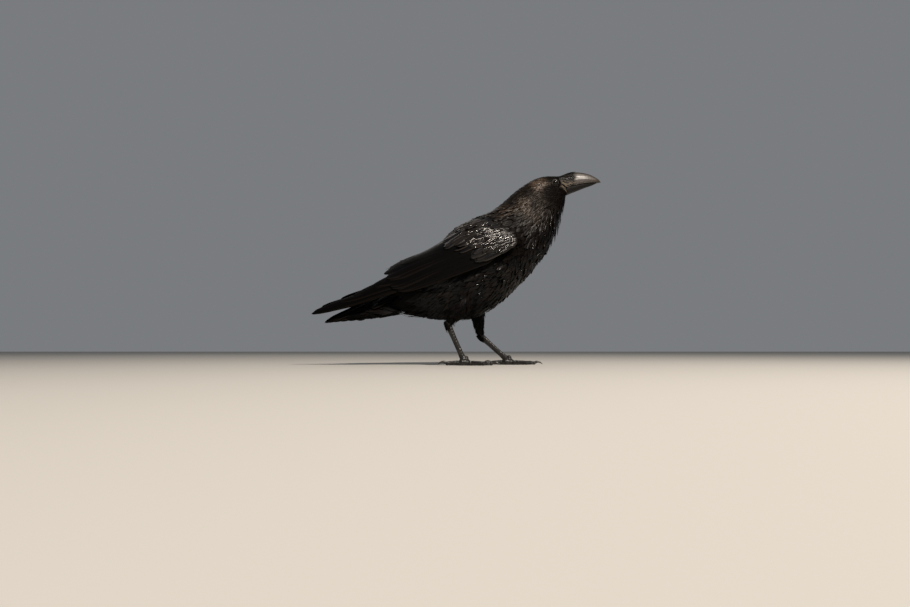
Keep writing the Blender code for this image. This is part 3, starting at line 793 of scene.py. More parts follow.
def scatter(mesh, spacingAt, seed):
    # random places on the surface, thinned until each stands its own spacing off the others
    random = np.random.default_rng(seed)
    mesh.calc_loop_triangles()
    corners = readAll(mesh.loop_triangles, "vertices", 3, np.int32)
    points, normals = pointsOf(mesh), normalsOf(mesh)
    one, two, three = (points[corners[:, i]] for i in range(3))
    area = np.linalg.norm(np.cross(two - one, three - one), axis=1) / 2
    spacing = spacingAt((one + two + three) / 3) * mm
    wanted = area / spacing ** 2
    picks = random.choice(len(area), size=int(wanted.sum() * 7), p=wanted / wanted.sum())
    u, v = random.random((2, len(picks)))
    over = u + v > 1
    u[over], v[over] = 1 - u[over], 1 - v[over]
    places = one[picks] + (two - one)[picks] * u[:, None] + (three - one)[picks] * v[:, None]
    ups = unit(normals[corners[picks]].mean(axis=1))
    near = kdtree.KDTree(len(places))
    for i, place in enumerate(places):
        near.insert(place, i)
    near.balance()
    alive = np.ones(len(places), bool)
    for i, place in enumerate(places):
        if alive[i]:
            for _, other, _ in near.find_range(place, spacing[picks[i]]):
                if other > i:
                    alive[other] = False
    return places[alive], ups[alive]


def laidFlat(lie, ups, random, wander):
    # the lie turned into the surface, a little astray, and the way across it
    lie = square(lie, ups)
    side = np.cross(ups, lie)
    return unit(lie + side * random.normal(0, wander, len(ups))[:, None]), side


unlike = {  # how much one feather differs from the next
    "wander": 0.09, "length": (0.85, 1.12), "width": (0.88, 1.1), "curve": 0.05, "rise": (-0.6, 1.0),
    "roll": 0.95, "zone": 0.08,
}


def laidRoots(places, ups, looks, patch, depth, seed):
    # the attributes of feathers at these places, each a little unlike the next
    random = np.random.default_rng(seed)
    count = len(places)
    lie, side = laidFlat(looks["lie"], ups, random, unlike["wander"])
    length = looks["length"] * random.uniform(*unlike["length"], count)
    width = looks["width"] * random.uniform(*unlike["width"], count)
    crisp = 1 - 0.5 * looks["matt"]
    return {
        "place": places, "lie": lie, "up": ups,
        "size": columns(length * mm, width * mm, np.clip(width / 11, 0.2, 1.3) * crisp),
        "sweep": side * (random.normal(0, unlike["curve"], count) * length * mm)[:, None],
        "patch": patch, "kind": looks["kind"], "sink": depth,
        "rise": looks["rise"] * random.uniform(*unlike["rise"], count) - 0.35 * crisp, "hug": looks["hug"],
        # the smooth back rolls less
        "roll": random.normal(0, unlike["roll"], count) * np.where(ups[:, 2] > 0.45, 0.6, 1.0) * width / 11
                * (1 - 0.6 * looks["matt"]),
        "tint": random.random(count),
        "zone": np.clip(looks["zone"] + random.normal(0, unlike["zone"], count), 0, 2),
        "matt": looks["matt"],
    }


eyeFlow = {  # mm from the middle of the eye, and how long, wide and deep the feathers beside it are
    "clear": 4.9, "radius": 4.9, "reach": [5, 11], "least": (0.5, 0.6, 0.4),
    "behind": 0.14, "ends": 0.13,  # metres: the eye's clearing and its flow stop behind these
}
bodyEdge = {  # metres, and how far a place faces up or out
    "tail": -0.128, "tailEnd": -0.152,  # no feathers of the body above the tail behind the first
    "lowOut": 0.25, "lowX": -0.085, "lowY": 0.02,  # the lining under the wing's lower edge
    "topOut": 0.85, "topX": -0.1, "topUp": 0.2,  # and under its upper edge
}
pocketLook = {  # mm from the wing
    "press": (14, 2), "pressed": 3.2,  # where the tips lie lower, and by how much
    "shade": (28, 14), "shadeUp": (0.2, -0.1), "shadeX": (0.0, 0.03),  # painted shade where it faces down; x in metres
    # how much the tips near the wing are dulled and how matt they may get, and how far the painted shade
    # darkens their tone
    "matt": (16, 3), "dull": 0.8, "most": 1.6, "dark": 0.9,
}


def bodyRoots(mesh, seed):
    places, ups = scatter(mesh, lambda points: coatAt(points)["spacing"], seed)
    x, y, z = places.T
    edge, dim = bodyEdge, pocketLook
    shown = ~((x < edge["tail"]) & (ups[:, 2] > 0) | (x < edge["tailEnd"]))
    shown &= (np.hypot(x - eyeCentre[0], z - eyeCentre[2]) > eyeFlow["clear"] * mm) | (x < eyeFlow["behind"])
    # the wings have feathers of their own, but for the lining that shows under their lower and front edges
    pocket = np.full(len(x), 1.0)
    for wing in wings:
        apart = np.array([[tree.find_nearest(Vector(place))[3] for tree in (wing["solid"], bodySolid)]
                          for place in places])
        facing = ups @ wing["out"]
        lining = (facing < edge["lowOut"]) & (x > edge["lowX"]) & (y * wing["side"] > edge["lowY"])
        lining |= (facing < edge["topOut"]) & (x > edge["topX"]) & (ups[:, 2] > edge["topUp"])
        shown &= (apart[:, 0] > apart[:, 1]) | lining
        shown &= ~wing["covers"](places)
        pocket = np.minimum(pocket, apart[:, 0])
    places, ups, pocket = places[shown], ups[shown], pocket[shown]
    looks = coatAt(places)
    press, near, matt = (smoothstep(dim[name][0] * mm, dim[name][1] * mm, pocket)
                         for name in ("press", "shade", "matt"))
    looks["rise"] = looks["rise"] - dim["pressed"] * press
    # painted shade in the pocket under the wing's edge, where the flank faces down: the feathers' tone is
    # darkened and their gloss dulled
    shade = near * smoothstep(*dim["shadeUp"], ups[:, 2])
    shade *= smoothstep(*dim["shadeX"], places[:, 0])
    depth = np.interp(looks["length"], [6, 20], [skinDepth["thin"], skinDepth["thick"] + 0.6])
    # as water parts round a stone, so do the feathers round the eye, and they are smaller beside it
    away = (places - eyeCentre)[:, [0, 2]]
    far = np.linalg.norm(away, axis=1, keepdims=True) + (places[:, :1] < eyeFlow["ends"]) * 1.0
    share = (eyeFlow["radius"] * mm / far) ** 2
    lie, away = looks["lie"][:, [0, 2]], unit(away)
    lie = (1 + share) * lie - 2 * share * (lie * away).sum(axis=1, keepdims=True) * away
    looks["lie"] = unit(columns(lie[:, 0], looks["lie"][:, 1], lie[:, 1]))
    long, wide, deep = (np.interp(far[:, 0] / mm, eyeFlow["reach"], [least, 1]) for least in eyeFlow["least"])
    looks["length"], looks["width"], depth = looks["length"] * long, looks["width"] * wide, depth * deep
    looks["matt"] = np.minimum(looks["matt"] + dim["dull"] * matt + shade, dim["most"])
    roots = laidRoots(places, ups, looks, unwrapBody(places), depth, seed + 1)
    # the painted shade darkens the feathers' tone
    roots["tint"] *= 1 - dim["dark"] * shade
    return roots


wingPlane = {
    "tilt": 35, "fall": 27,  # degrees above level that it faces, degrees that it slopes
    "cell": 2.5, "margin": 28, "tuck": 6,  # mm; the last is how much higher the left wing's tip is folded
    "far": 0.3, "facing": 0.72,  # metres out that it is felt for from, and how squarely it has to face there
    "rounds": 400, "free": 392,  # rounds of smoothing, and how many of them leave the wing itself alone
    "inset": 4, "near": 0.03, "poke": 0.0288,  # cells and metres: what counts as under the wing or out of it
}


def makeWing(side):
    # the wing's outer face as a sheet, carried on past its edges for the feathers that reach over them
    name = "right" if side < 0 else "left"
    tilt, fall = math.radians(wingPlane["tilt"]), math.radians(wingPlane["fall"])
    out = np.array([0, side * math.cos(tilt), math.sin(tilt)])
    run = square(np.array([-math.cos(fall), 0, -math.sin(fall)]), out)
    rise = np.cross(out, run)
    rise *= np.sign(rise[2])
    tree, points = solidTree([f"wing_{name}", f"primaries_{name}"])
    cell, margin, far = wingPlane["cell"] * mm, wingPlane["margin"] * mm, wingPlane["far"]
    runs, rises = (np.arange((points @ way).min() - margin, (points @ way).max() + margin, cell)
                   for way in (run, rise))
    height = np.full((len(runs), len(rises)), np.nan)
    for i, a in enumerate(runs):
        for j, b in enumerate(rises):
            hit, normal, _, reach = tree.ray_cast(Vector(run * a + rise * b + out * far), Vector(-out))
            if hit is not None and normal.dot(Vector(out)) > wingPlane["facing"]:
                height[i, j] = far - reach
    # past the edges it keeps the slope of a smooth surface fitted to the rest
    known = ~np.isnan(height)
    u, v = np.meshgrid(np.linspace(-1, 1, len(runs)), np.linspace(-1, 1, len(rises)), indexing="ij")
    terms = np.stack([u ** i * v ** j for i in range(4) for j in range(3)], axis=-1)
    fit = terms @ np.linalg.lstsq(terms[known], height[known], rcond=None)[0]
    rest = np.where(known, height - fit, 0)
    edge = neighbours(np.ones_like(rest))
    for step in range(wingPlane["rounds"]):
        rest = np.where(known & (step < wingPlane["free"]), rest, neighbours(rest) / edge)
    height = fit + rest
    places = run * runs[:, None, None] + rise * rises[:, None] + out * height[..., None]
    wide = len(rises)
    faces = [(i * wide + j, i * wide + j + 1, (i + 1) * wide + j + 1, (i + 1) * wide + j)
             for i in range(len(runs) - 1) for j in range(wide - 1)]
    if np.cross(rise, run) @ out < 0:
        faces = [face[::-1] for face in faces]
    sheet = newObject(f"wing sheet {name}", meshFrom("wing sheet", places.reshape(-1, 3), faces))
    sheet.data.shade_smooth()
    inner = known.copy()
    for _ in range(wingPlane["inset"]):
        inner = neighbours(inner.astype(float)) >= edge

    def over(spots):
        # the sheet's cell at each place, and how far out of the sheet the place is
        i, j = (np.clip(np.round((spots @ way - line[0]) / cell).astype(int), 0, len(line) - 1)
                for way, line in ((run, runs), (rise, rises)))
        return (i, j), spots @ out - height[i, j]

    def covers(spots):
        cells, above = over(spots)
        return inner[cells] & (np.abs(above) < wingPlane["near"])

    def pokes(spots):
        cells, above = over(spots)
        return known[cells] & (np.abs(above - wingPlane["poke"]) < wingPlane["near"])

    def unwrap(spots):
        # the sheet laid flat
        u, v = (0.03 + share * (spots @ way - line[0]) / (line[-1] - line[0])
                for share, way, line in ((0.94, run, runs), (0.4, rise, rises)))
        return columns(u, v, 0)

    return {"name": name, "side": side, "sheet": sheet, "tree": treeOf(sheet), "solid": tree, "out": out,
            "tuck": wingPlane["tuck"] * (side > 0), "covers": covers, "pokes": pokes, "unwrap": unwrap}


def neighbours(values):
    # the sum of the four cells beside each
    padded = np.pad(values, 1)
    return padded[:-2, 1:-1] + padded[2:, 1:-1] + padded[1:-1, :-2] + padded[1:-1, 2:]


def onWing(wing, spots):
    # places on the sheet seen from the side at these x and z in mm, with the way the sheet faces there
    places, ups = [], []
    for x, z in spots:
        start = Vector((x * mm, wing["side"] * wingPlane["far"], z * mm))
        hit, normal, _, _ = wing["tree"].ray_cast(start, Vector((0, -wing["side"], 0)))
        if hit is None:
            hit, normal, _, _ = wing["tree"].find_nearest(Vector((x * mm, wing["side"] * 0.03, z * mm)))
        places.append(hit)
        ups.append(normal)
    return np.array(places), np.array(ups)


# Rows of the folded wing seen from its side, in mm: the line that their roots stand on and the line that
# their tips reach, from the lowest feather of the row to the highest, their number, widths and heights over
# the wing, then how much they roll, how matt they are, their kind and how far each tip strays.
rowFields = ("roots", "tips", "count", "width", "level", "roll", "matt", "kind", "wobble")
wingRows = {name: dict(zip(rowFields, row)) for name, row in {
    "outer primaries": ([(-10, 148), (-10, 150)], [(-186, 96), (-223, 87)],
                        2, [13, 15], [-3.2, -2.8], 0.2, 0.9, "remex", 0.8),
    "primaries": ([(-12, 152), (20, 176)], [(-239, 83), (-212, 97), (-150, 121), (-126, 131)],
                  8, [18, 21], [-2.4, -0.2], 0.3, 0.9, "remex", 1.2),
    "secondaries": ([(62, 172), (30, 196)], [(-92, 116), (-106, 127), (-116, 141)],
                    9, [15, 22], [-1.6, 0.8], 0.4, 0.6, "remex", 1.5),
    "tertials": ([(8, 192), (12, 216)], [(-116, 150), (-106, 157), (-76, 171)],
                 5, [24, 24], [1.0, 1.6], 0.5, 0.5, "remex", 1.5),
    "greater coverts": ([(84, 188), (38, 220)], [(38, 162), (14, 174), (-28, 198)],
                        19, [9, 13], [0.6, 1.0], 0.8, 0.1, "covert", 3.6),
    "median coverts": ([(94, 196), (66, 222)], [(66, 178), (48, 191), (24, 211)],
                       17, [7, 8], [1.0, 1.4], 0.8, 0.0, "covert", 2.6),
}.items()}


def rowRoots(wing, row, seed):
    random = np.random.default_rng(seed)
    count, side = row["count"], wing["side"]
    share = np.linspace(0, 1, count)

    def along(line):
        line = np.array(line, float)
        return columns(*(np.interp(share, np.linspace(0, 1, len(line)), line[:, i]) for i in (0, 1)))

    places, ups = onWing(wing, along(row["roots"]) + random.normal(0, 0.6, (count, 2)))
    ends = along(row["tips"]) + random.normal(0, row["wobble"], (count, 2))
    ends[:, 1] += wing["tuck"] * smoothstep(-120, -200, ends[:, 0])
    tips, tipUps = onWing(wing, ends)
    reach = tips - places
    ups = square(unit(ups + tipUps), unit(reach))
    width, level = (np.interp(share, [0, 1], row[name]) for name in ("width", "level"))
    size = columns(np.linalg.norm(reach, axis=1), width * mm, np.clip(width / 14, 0.5, 1.2))
    return rowsOf(places, lie=unit(reach), up=ups, size=size, patch=wing["unwrap"](places),
                  kind=kindNumber[row["kind"]], sink=1.2 - level, rise=level, hug=1,
                  roll=random.normal(0, 1, count) * row["roll"] - 0.5 * side, tint=random.random(count),
                  matt=row["matt"])


# Small feathers of the wing: place from the side, lie, spacing, length, width, rise, kind, share of brown
wingCoat = {
    "bend": ((100, 202), (-0.92, -0.39), 2.9, 12, 4.6, 0.7, "round", 0.0),
    "lesser": ((80, 210), (-0.9, -0.44), 3.2, 16, 5.4, 1.0, "round", 0.03),
    "shoulder edge": ((70, 226), (-0.88, -0.47), 3.4, 18, 5.8, 1.2, "round", 0.03),
    "scapulars": ((35, 228), (-0.88, -0.47), 4.0, 24, 7.4, 1.3, "round", 0.2),
    "lower scapulars": ((30, 200), (-0.88, -0.47), 4.4, 24, 8.0, 1.2, "covert", 0.25),
    "long scapulars": ((0, 214), (-0.88, -0.48), 5.6, 34, 11, 1.3, "covert", 0.0),
}


def wingCoatAt(points):
    rows = wingCoat.values()
    places = np.array([row[0] for row in rows], float) * mm
    _, lie, looks = blended(np.linalg.norm(points[:, None, [0, 2]] - places[None], axis=2),
                            [[row[1][0], 0, row[1][1], *row[2:6], row[7]] for row in rows],
                            ("spacing", "length", "width", "rise", "zone"), [row[6] for row in rows])
    return {**looks, "lie": unit(lie), "hug": np.ones(len(points)), "matt": np.zeros(len(points))}


# the outline of the wing's small feathers in mm: x at each z for the rear and front, else z at each x
wingField = {
    "rear": ([212, 220], [-2, 14]),
    "front": ([194, 204, 214, 224, 232, 240], [99, 100, 95, 83, 68, 44]),
    "lower": ([0, 20, 40, 60, 80, 104], [208, 198, 191, 186, 185, 194]),
    "upper": ([-30, -10, 30, 60, 80, 100, 104], [208, 222, 240, 234, 224, 212, 208]),
}


def wingSmallRoots(wing, seed):
    # over the bend and shoulder of the wing, and along its upper edge as far as the scapulars reach
    places, ups = scatter(wing["sheet"].data, lambda points: wingCoatAt(points)["spacing"], seed)
    x, z = places[:, 0] / mm, places[:, 2] / mm
    rear, front, lower, upper = (np.interp(along, *wingField[name]) for name, along in
                                 (("rear", z), ("front", z), ("lower", x), ("upper", x)))
    shown = (x > rear) & (x < front) & (z > lower) & (z < upper) & (ups @ wing["out"] > 0.8)
    places, ups = places[shown], ups[shown]
    depth = np.full(len(places), -0.6)
    roots = laidRoots(places, ups, wingCoatAt(places), wing["unwrap"](places), depth, seed + 1)
    roots["rise"] += 2.2
    roots["roll"] *= np.interp(x[shown], [60, 90], [2.0, 0.5])
    return roots


def feathersOfWing(wing, seed):
    rows = list(wingRows.values())
    flight = [rowRoots(wing, row, seed + i) for i, row in enumerate(rows[:4])]
    growCoat(f"remiges_{wing['name']}", together(*flight), wing["sheet"], flightBlack)
    coverts = [rowRoots(wing, row, seed + 10 + i) for i, row in enumerate(rows[4:])]
    growCoat(f"coverts_{wing['name']}", together(*coverts, wingSmallRoots(wing, seed + 20)), wing["sheet"],
             covertBlack)


tail = {
    "root": (-100, 3.5, 127), "spread": 1.4, "drop": 2.6,  # mm: the middle feather's root, and to the next
    "tips": [(-219, 3, 71), (-216, 6, 73), (-209, 10, 75.5), (-199, 14, 78), (-187, 19, 80.5),
             (-173, 23, 82)],
    "width": 24, "roll": (14, 50),  # degrees that the middle and outer feathers turn down at the side
    # ranks of coverts over its root: x, height, reach across, number on each side, length and width
    "coverts": [(-78, 144, 24, 6, 42, 12), (-90, 135, 25, 7, 44, 13), (-102, 126, 26, 7, 42, 12)],
    "covertRoll": 50,
}


def turnedUp(side, degrees, lie):
    # the face of a tail feather, turned down at its side
    roll = math.radians(degrees)
    return square(np.array([0, side * math.sin(roll), math.cos(roll)]), lie)


def tailRoots(seed):
    random = np.random.default_rng(seed)
    found = []
    for side in (-1, 1):
        for i, tip in enumerate(tail["tips"]):
            x, y, z = tail["root"]
            root = np.array([x, side * (y + i * tail["spread"]), z - i * tail["drop"]]) * mm
            reach = np.array([tip[0], side * tip[1], tip[2]]) * mm - root
            length = np.linalg.norm(reach)
            lie = reach / length
            up = turnedUp(side, np.interp(i, [0, 5], tail["roll"]), lie)
            level = -0.9 * i + 0.3 * (side > 0)
            found.append(rowsOf(root[None], lie=lie, up=up, size=(length, tail["width"] * mm, 1.0),
                                sweep=up * -2.0 * mm, patch=(0.2 + 0.1 * i, 0.3 + 0.2 * side, 0),
                                kind=kindNumber["rectrix"], sink=-level, rise=level, roll=-0.3 * side,
                                tint=random.random(), matt=0.6))
    for x, z, reach, count, length, width in tail["coverts"]:
        for side in (-1, 1):
            for i in range(count):
                share = (i + 0.5 + 0.3 * random.normal()) / count
                lie = unit(np.array([-1, side * 0.05, -0.5 - 0.06 * share]) + random.normal(0, 0.02, 3))
                up = turnedUp(side, tail["covertRoll"] * share, lie)
                place = np.array([x + random.normal(0, 1.5), side * reach * share, z - 16 * share ** 2]) * mm
                found.append(rowsOf(place[None], lie=lie, up=up, size=(length * mm, width * mm, 1.1),
                                    sweep=up * -1.5 * mm, patch=(0.15 + 0.1 * share, 0.3 + 0.2 * side, 0),
                                    kind=kindNumber["covert"], sink=3.0, rise=random.uniform(-0.2, 0.8),
                                    roll=random.normal(0, 0.3), tint=random.random(), matt=0.7))
    return together(*found)


bill = {
    "shut": 0.5,  # mm that the meeting faces are let into one another
    "voxel": 0.45, "edge": 1.1, "groove": 0.16,  # mm: the fold above the cutting edge and its depth
    "step": 0.6,  # mm from one measure of the cutting edge to the next
    "fold": 0.45, "shutLast": 6, "wornEdge": 0.7,  # mm: the fold's width, the tip left as it is, the pale rim
}


def makeBill():
    for name, edge in (("upper_bill", -1), ("lower_bill", 1)):
        piece = fineCopy(f"{name}_horn", [name], bill["voxel"] * mm, 5)
        mesh = piece.data
        points, normals = pointsOf(mesh), normalsOf(mesh)
        low, high = points[:, 0].min(), points[:, 0].max()
        steps = np.round((points[:, 0] - low) / (bill["step"] * mm)).astype(int)
        border = np.array([(edge * points[steps == step, 2]).max() for step in range(steps.max() + 1)])
        border = np.convolve(np.pad(border, 3, "edge"), np.ones(7) / 7, "valid")
        stations = low + bill["step"] * mm * np.arange(len(border))
        apart = np.interp(points[:, 0], stations, border) - edge * points[:, 2]
        # the halves of the bill are shut
        inner = smoothstep(high, high - bill["shutLast"] * mm, points[:, 0])
        points[:, 2] += edge * bill["shut"] * mm * (smoothstep(0.5, 0.9, edge * normals[:, 2]) * inner)
        fold = np.exp(-((apart / mm - bill["edge"]) / bill["fold"]) ** 2)
        fold *= smoothstep(0.3, 0.7, np.abs(normals[:, 1]))
        setPoints(mesh, points - normals * (fold * bill["groove"] * mm)[:, None])
        # paler with wear at the cutting edge and tip; darker in the fold above the edge and where the horn
        # faces down, as painted shade
        tip = smoothstep(low + 0.75 * (high - low), high, points[:, 0])
        rim = 0.35 * np.exp(-(apart / (bill["wornEdge"] * mm)) ** 2)
        storeValue(mesh, "wearAndPaintedLight", rim + 0.1 * tip - 0.1 * fold - 0.5 * smoothstep(0.1, 0.8, -normals[:, 2]))
        paint(piece, billHorn if edge < 0 else shadedLowerHorn)
        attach(piece, "root")
        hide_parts(name)
        print(piece.name, len(mesh.polygons), "faces")


bristle = {  # mm
    "from": 167, "to": 189, "spacing": 1.0, "foot": 293, "corner": 171, "slope": 0.25, "eye": 8.0,
    "length": [20, 11], "width": (0.8, 1.4), "size": 0.35,
    "pale": (309, 302), "paleFrom": (168, 171), "paleShare": 0.38,  # the ones painted pale as a sunlit highlight: height, x and how many
    "lift": (294, 318), "droop": 0.6,
}


def bristleRoots(surface, seed):
    # stiff hairs from the forehead and the corner of the mouth, forward over the base of the bill
    random = np.random.default_rng(seed)
    places, ups = scatter(surface.data, lambda points: np.full(len(points), bristle["spacing"]), seed)
    x, _, z = places.T / mm
    shown = (x > bristle["from"]) & (x < bristle["to"]) & (ups[:, 0] < 0.75)
    shown &= z > bristle["foot"] + bristle["slope"] * (x - bristle["corner"])
    shown &= np.hypot(x - eyeCentre[0] / mm, z - eyeCentre[2] / mm) > bristle["eye"]
    places, ups, x, z = places[shown], ups[shown], x[shown], z[shown]
    count = len(places)
    lie, side = laidFlat(columns(1, 0, -0.34 + 0.42 * smoothstep(*bristle["lift"], z)), ups, random, 0.07)
    length = np.interp(x, [bristle["corner"], 188], bristle["length"]) * random.uniform(0.55, 1.2, count)
    width = random.uniform(*bristle["width"], count)
    # some bristles low by the corner of the mouth are painted pale, a painted highlight of sun on black hair
    pale = smoothstep(*bristle["pale"], z) * smoothstep(*bristle["paleFrom"], x)
    pale = pale * (random.random(count) < bristle["paleShare"])
    sweep = side * (random.normal(0, 0.06, count) * length * mm)[:, None] + (0, 0, -bristle["droop"] * mm)
    # the patch is along the bill and round it
    turn = np.arctan2(places[:, 1], places[:, 2] - 0.297)
    patch = columns(0.03 + 10 * (places[:, 0] - 0.16), 0.5 + 0.47 * turn / math.pi, 0)
    size = columns(length * mm, width * mm, bristle["size"])
    return rowsOf(places, lie=lie, up=ups, size=size, sweep=sweep, patch=patch, kind=kindNumber["hackle"],
                  sink=0.9, rise=random.uniform(0.1, 1.1, count), hug=0.9, roll=random.normal(0, 0.1, count),
                  tint=random.uniform(0.2, 1.2, count), zone=pale, matt=0.7)


eye = {
    "radius": 6.0, "cornea": 0.55, "corneaWidth": 30,  # mm, mm, degrees
    "toe": 8, "rise": 2,  # degrees that it looks forward and up
    "lidInner": 50, "lidOuter": 74, "lidTall": 0.9, "lidThick": 0.75,
}


def lathe(name, rings, turns, shape):
    # a surface of rings about X from their radius and angle off it, closed where a ring has no size
    points, faces = [], []
    for ring in range(rings):
        for turn in range(turns):
            around = math.tau * turn / turns
            radius, theta = shape(ring / (rings - 1), around)
            points.append((radius * math.cos(theta), radius * math.sin(theta) * math.cos(around),
                           radius * math.sin(theta) * math.sin(around)))
    for ring in range(rings - 1):
        for turn in range(turns):
            one, two, after = ring * turns, (ring + 1) * turns, (turn + 1) % turns
            faces.append((one + turn, two + turn, two + after, one + after))
    mesh = meshFrom(name, points, faces)
    form = bmesh.new()
    form.from_mesh(mesh)
    bmesh.ops.remove_doubles(form, verts=form.verts, dist=0.002 * mm)
    bmesh.ops.recalc_face_normals(form, faces=form.faces)
    form.to_mesh(mesh)
    form.free()
    return newObject(name, mesh)


def makeEye(side, name):
    centre = Vector(np.mean(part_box(f"eye_{name}"), axis=0))
    toe, rise = math.radians(eye["toe"]), math.radians(eye["rise"])
    look = Vector((math.sin(toe), side * math.cos(toe), math.sin(rise))).normalized()
    turn = look.to_track_quat("X", "Z").to_matrix()

    def ball(t, around):
        theta = math.pi * t
        bulge = math.exp(-(math.degrees(theta) / eye["corneaWidth"]) ** 2)
        return (eye["radius"] + eye["cornea"] * bulge) * mm, theta

    def lid(t, around):
        # a soft rim round the eye, a little lower above and below than in front and behind
        middle, half = (math.radians((eye["lidOuter"] + way * eye["lidInner"]) / 2) for way in (1, -1))
        theta = (middle + half * math.cos(math.tau * t)) * (1 - (1 - eye["lidTall"]) * math.sin(around) ** 2)
        beads = 1 + 0.1 * math.sin(26 * around)
        return (eye["radius"] + 0.1 + eye["lidThick"] * math.sin(math.tau * t) * beads) * mm, theta

    globe = lathe(f"eyeball_{name}", 33, 48, ball)
    ahead = np.clip(unit(pointsOf(globe.data))[:, 0], -1, 1)
    storeValue(globe.data, "gaze", np.arccos(ahead) / (math.pi / 2))
    rim = lathe(f"lids_{name}", 13, 72, lid)
    for piece, material in ((globe, eyeWet), (rim, lidSkin)):
        setPoints(piece.data, pointsOf(piece.data) @ np.array(turn).T + np.array(centre))
        piece.data.shade_smooth()
        piece.data.materials.append(material)
        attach(piece, "root")
    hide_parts(f"eye_{name}")
    print(globe.name, len(globe.data.polygons), "and", rim.name, len(rim.data.polygons), "faces")


legs = {  # mm
    "voxel": 0.5, "shankScute": 4.6, "toeScute": 2.7, "height": 0.75, "hock": 4.3, "claw": 0.28,
    "cuff": {"count": 130, "height": [-3.5, 5.5], "radius": 4.9, "flare": 0.05, "length": [7, 11],
             "width": 2.8},
    "plateWave": (0.5, 900),  # mm that the plates' ends wander, and how fast
    "front": (-0.15, 0.35),  # how squarely a place faces forward where pads give way to plates
    "creaseAt": (0.96, -0.04), "creaseWidth": 0.07,  # shares of a plate
    "pebble": 2.9, "pad": 0.25,  # radians to the mm, and how high the pads are beside the plates
    "knuckle": 1.1,  # how much thicker the joints are than the ends that meet there
    "end": 1.5,  # how much of a bone counts as its end
}


def boneOf(name):
    # a bone's points and the way it runs
    points = pointsOf(nodes[name].data)
    return points, np.linalg.svd(points - points.mean(axis=0))[2][0]


def heelRoots(side, seed):
    # a cuff of short feathers over the joint where the bare shank begins
    random = np.random.default_rng(seed)
    cuff = legs["cuff"]
    own, axis = boneOf(f"shank_{side}")
    axis *= -np.sign(axis[2])
    centre = own[own @ axis < (own @ axis).min() + 2 * mm].mean(axis=0)
    count = cuff["count"]
    turn = random.uniform(0, math.tau, count)
    front = square(np.array([1.0, 0, 0]), axis)
    around = np.cos(turn)[:, None] * front + np.sin(turn)[:, None] * np.cross(axis, front)
    height = random.uniform(*cuff["height"], count)[:, None]
    lie = unit(axis + around * cuff["flare"] + random.normal(0, 0.07, (count, 3)))
    up = square(around, lie)
    places = centre + (around * cuff["radius"] * (1 - 0.05 * height ** 2 / 6) - axis * height) * mm
    length = random.uniform(*cuff["length"], count)
    return rowsOf(places, lie=lie, up=up, size=columns(length * mm, cuff["width"] * mm, 0.3),
                  sweep=-up * 1.2 * mm, patch=unwrapBody(places), kind=kindNumber["hackle"], sink=0.5,
                  rise=random.uniform(-0.3, 0.8, count), roll=random.normal(0, 0.2, count),
                  tint=random.random(count), matt=1.1)


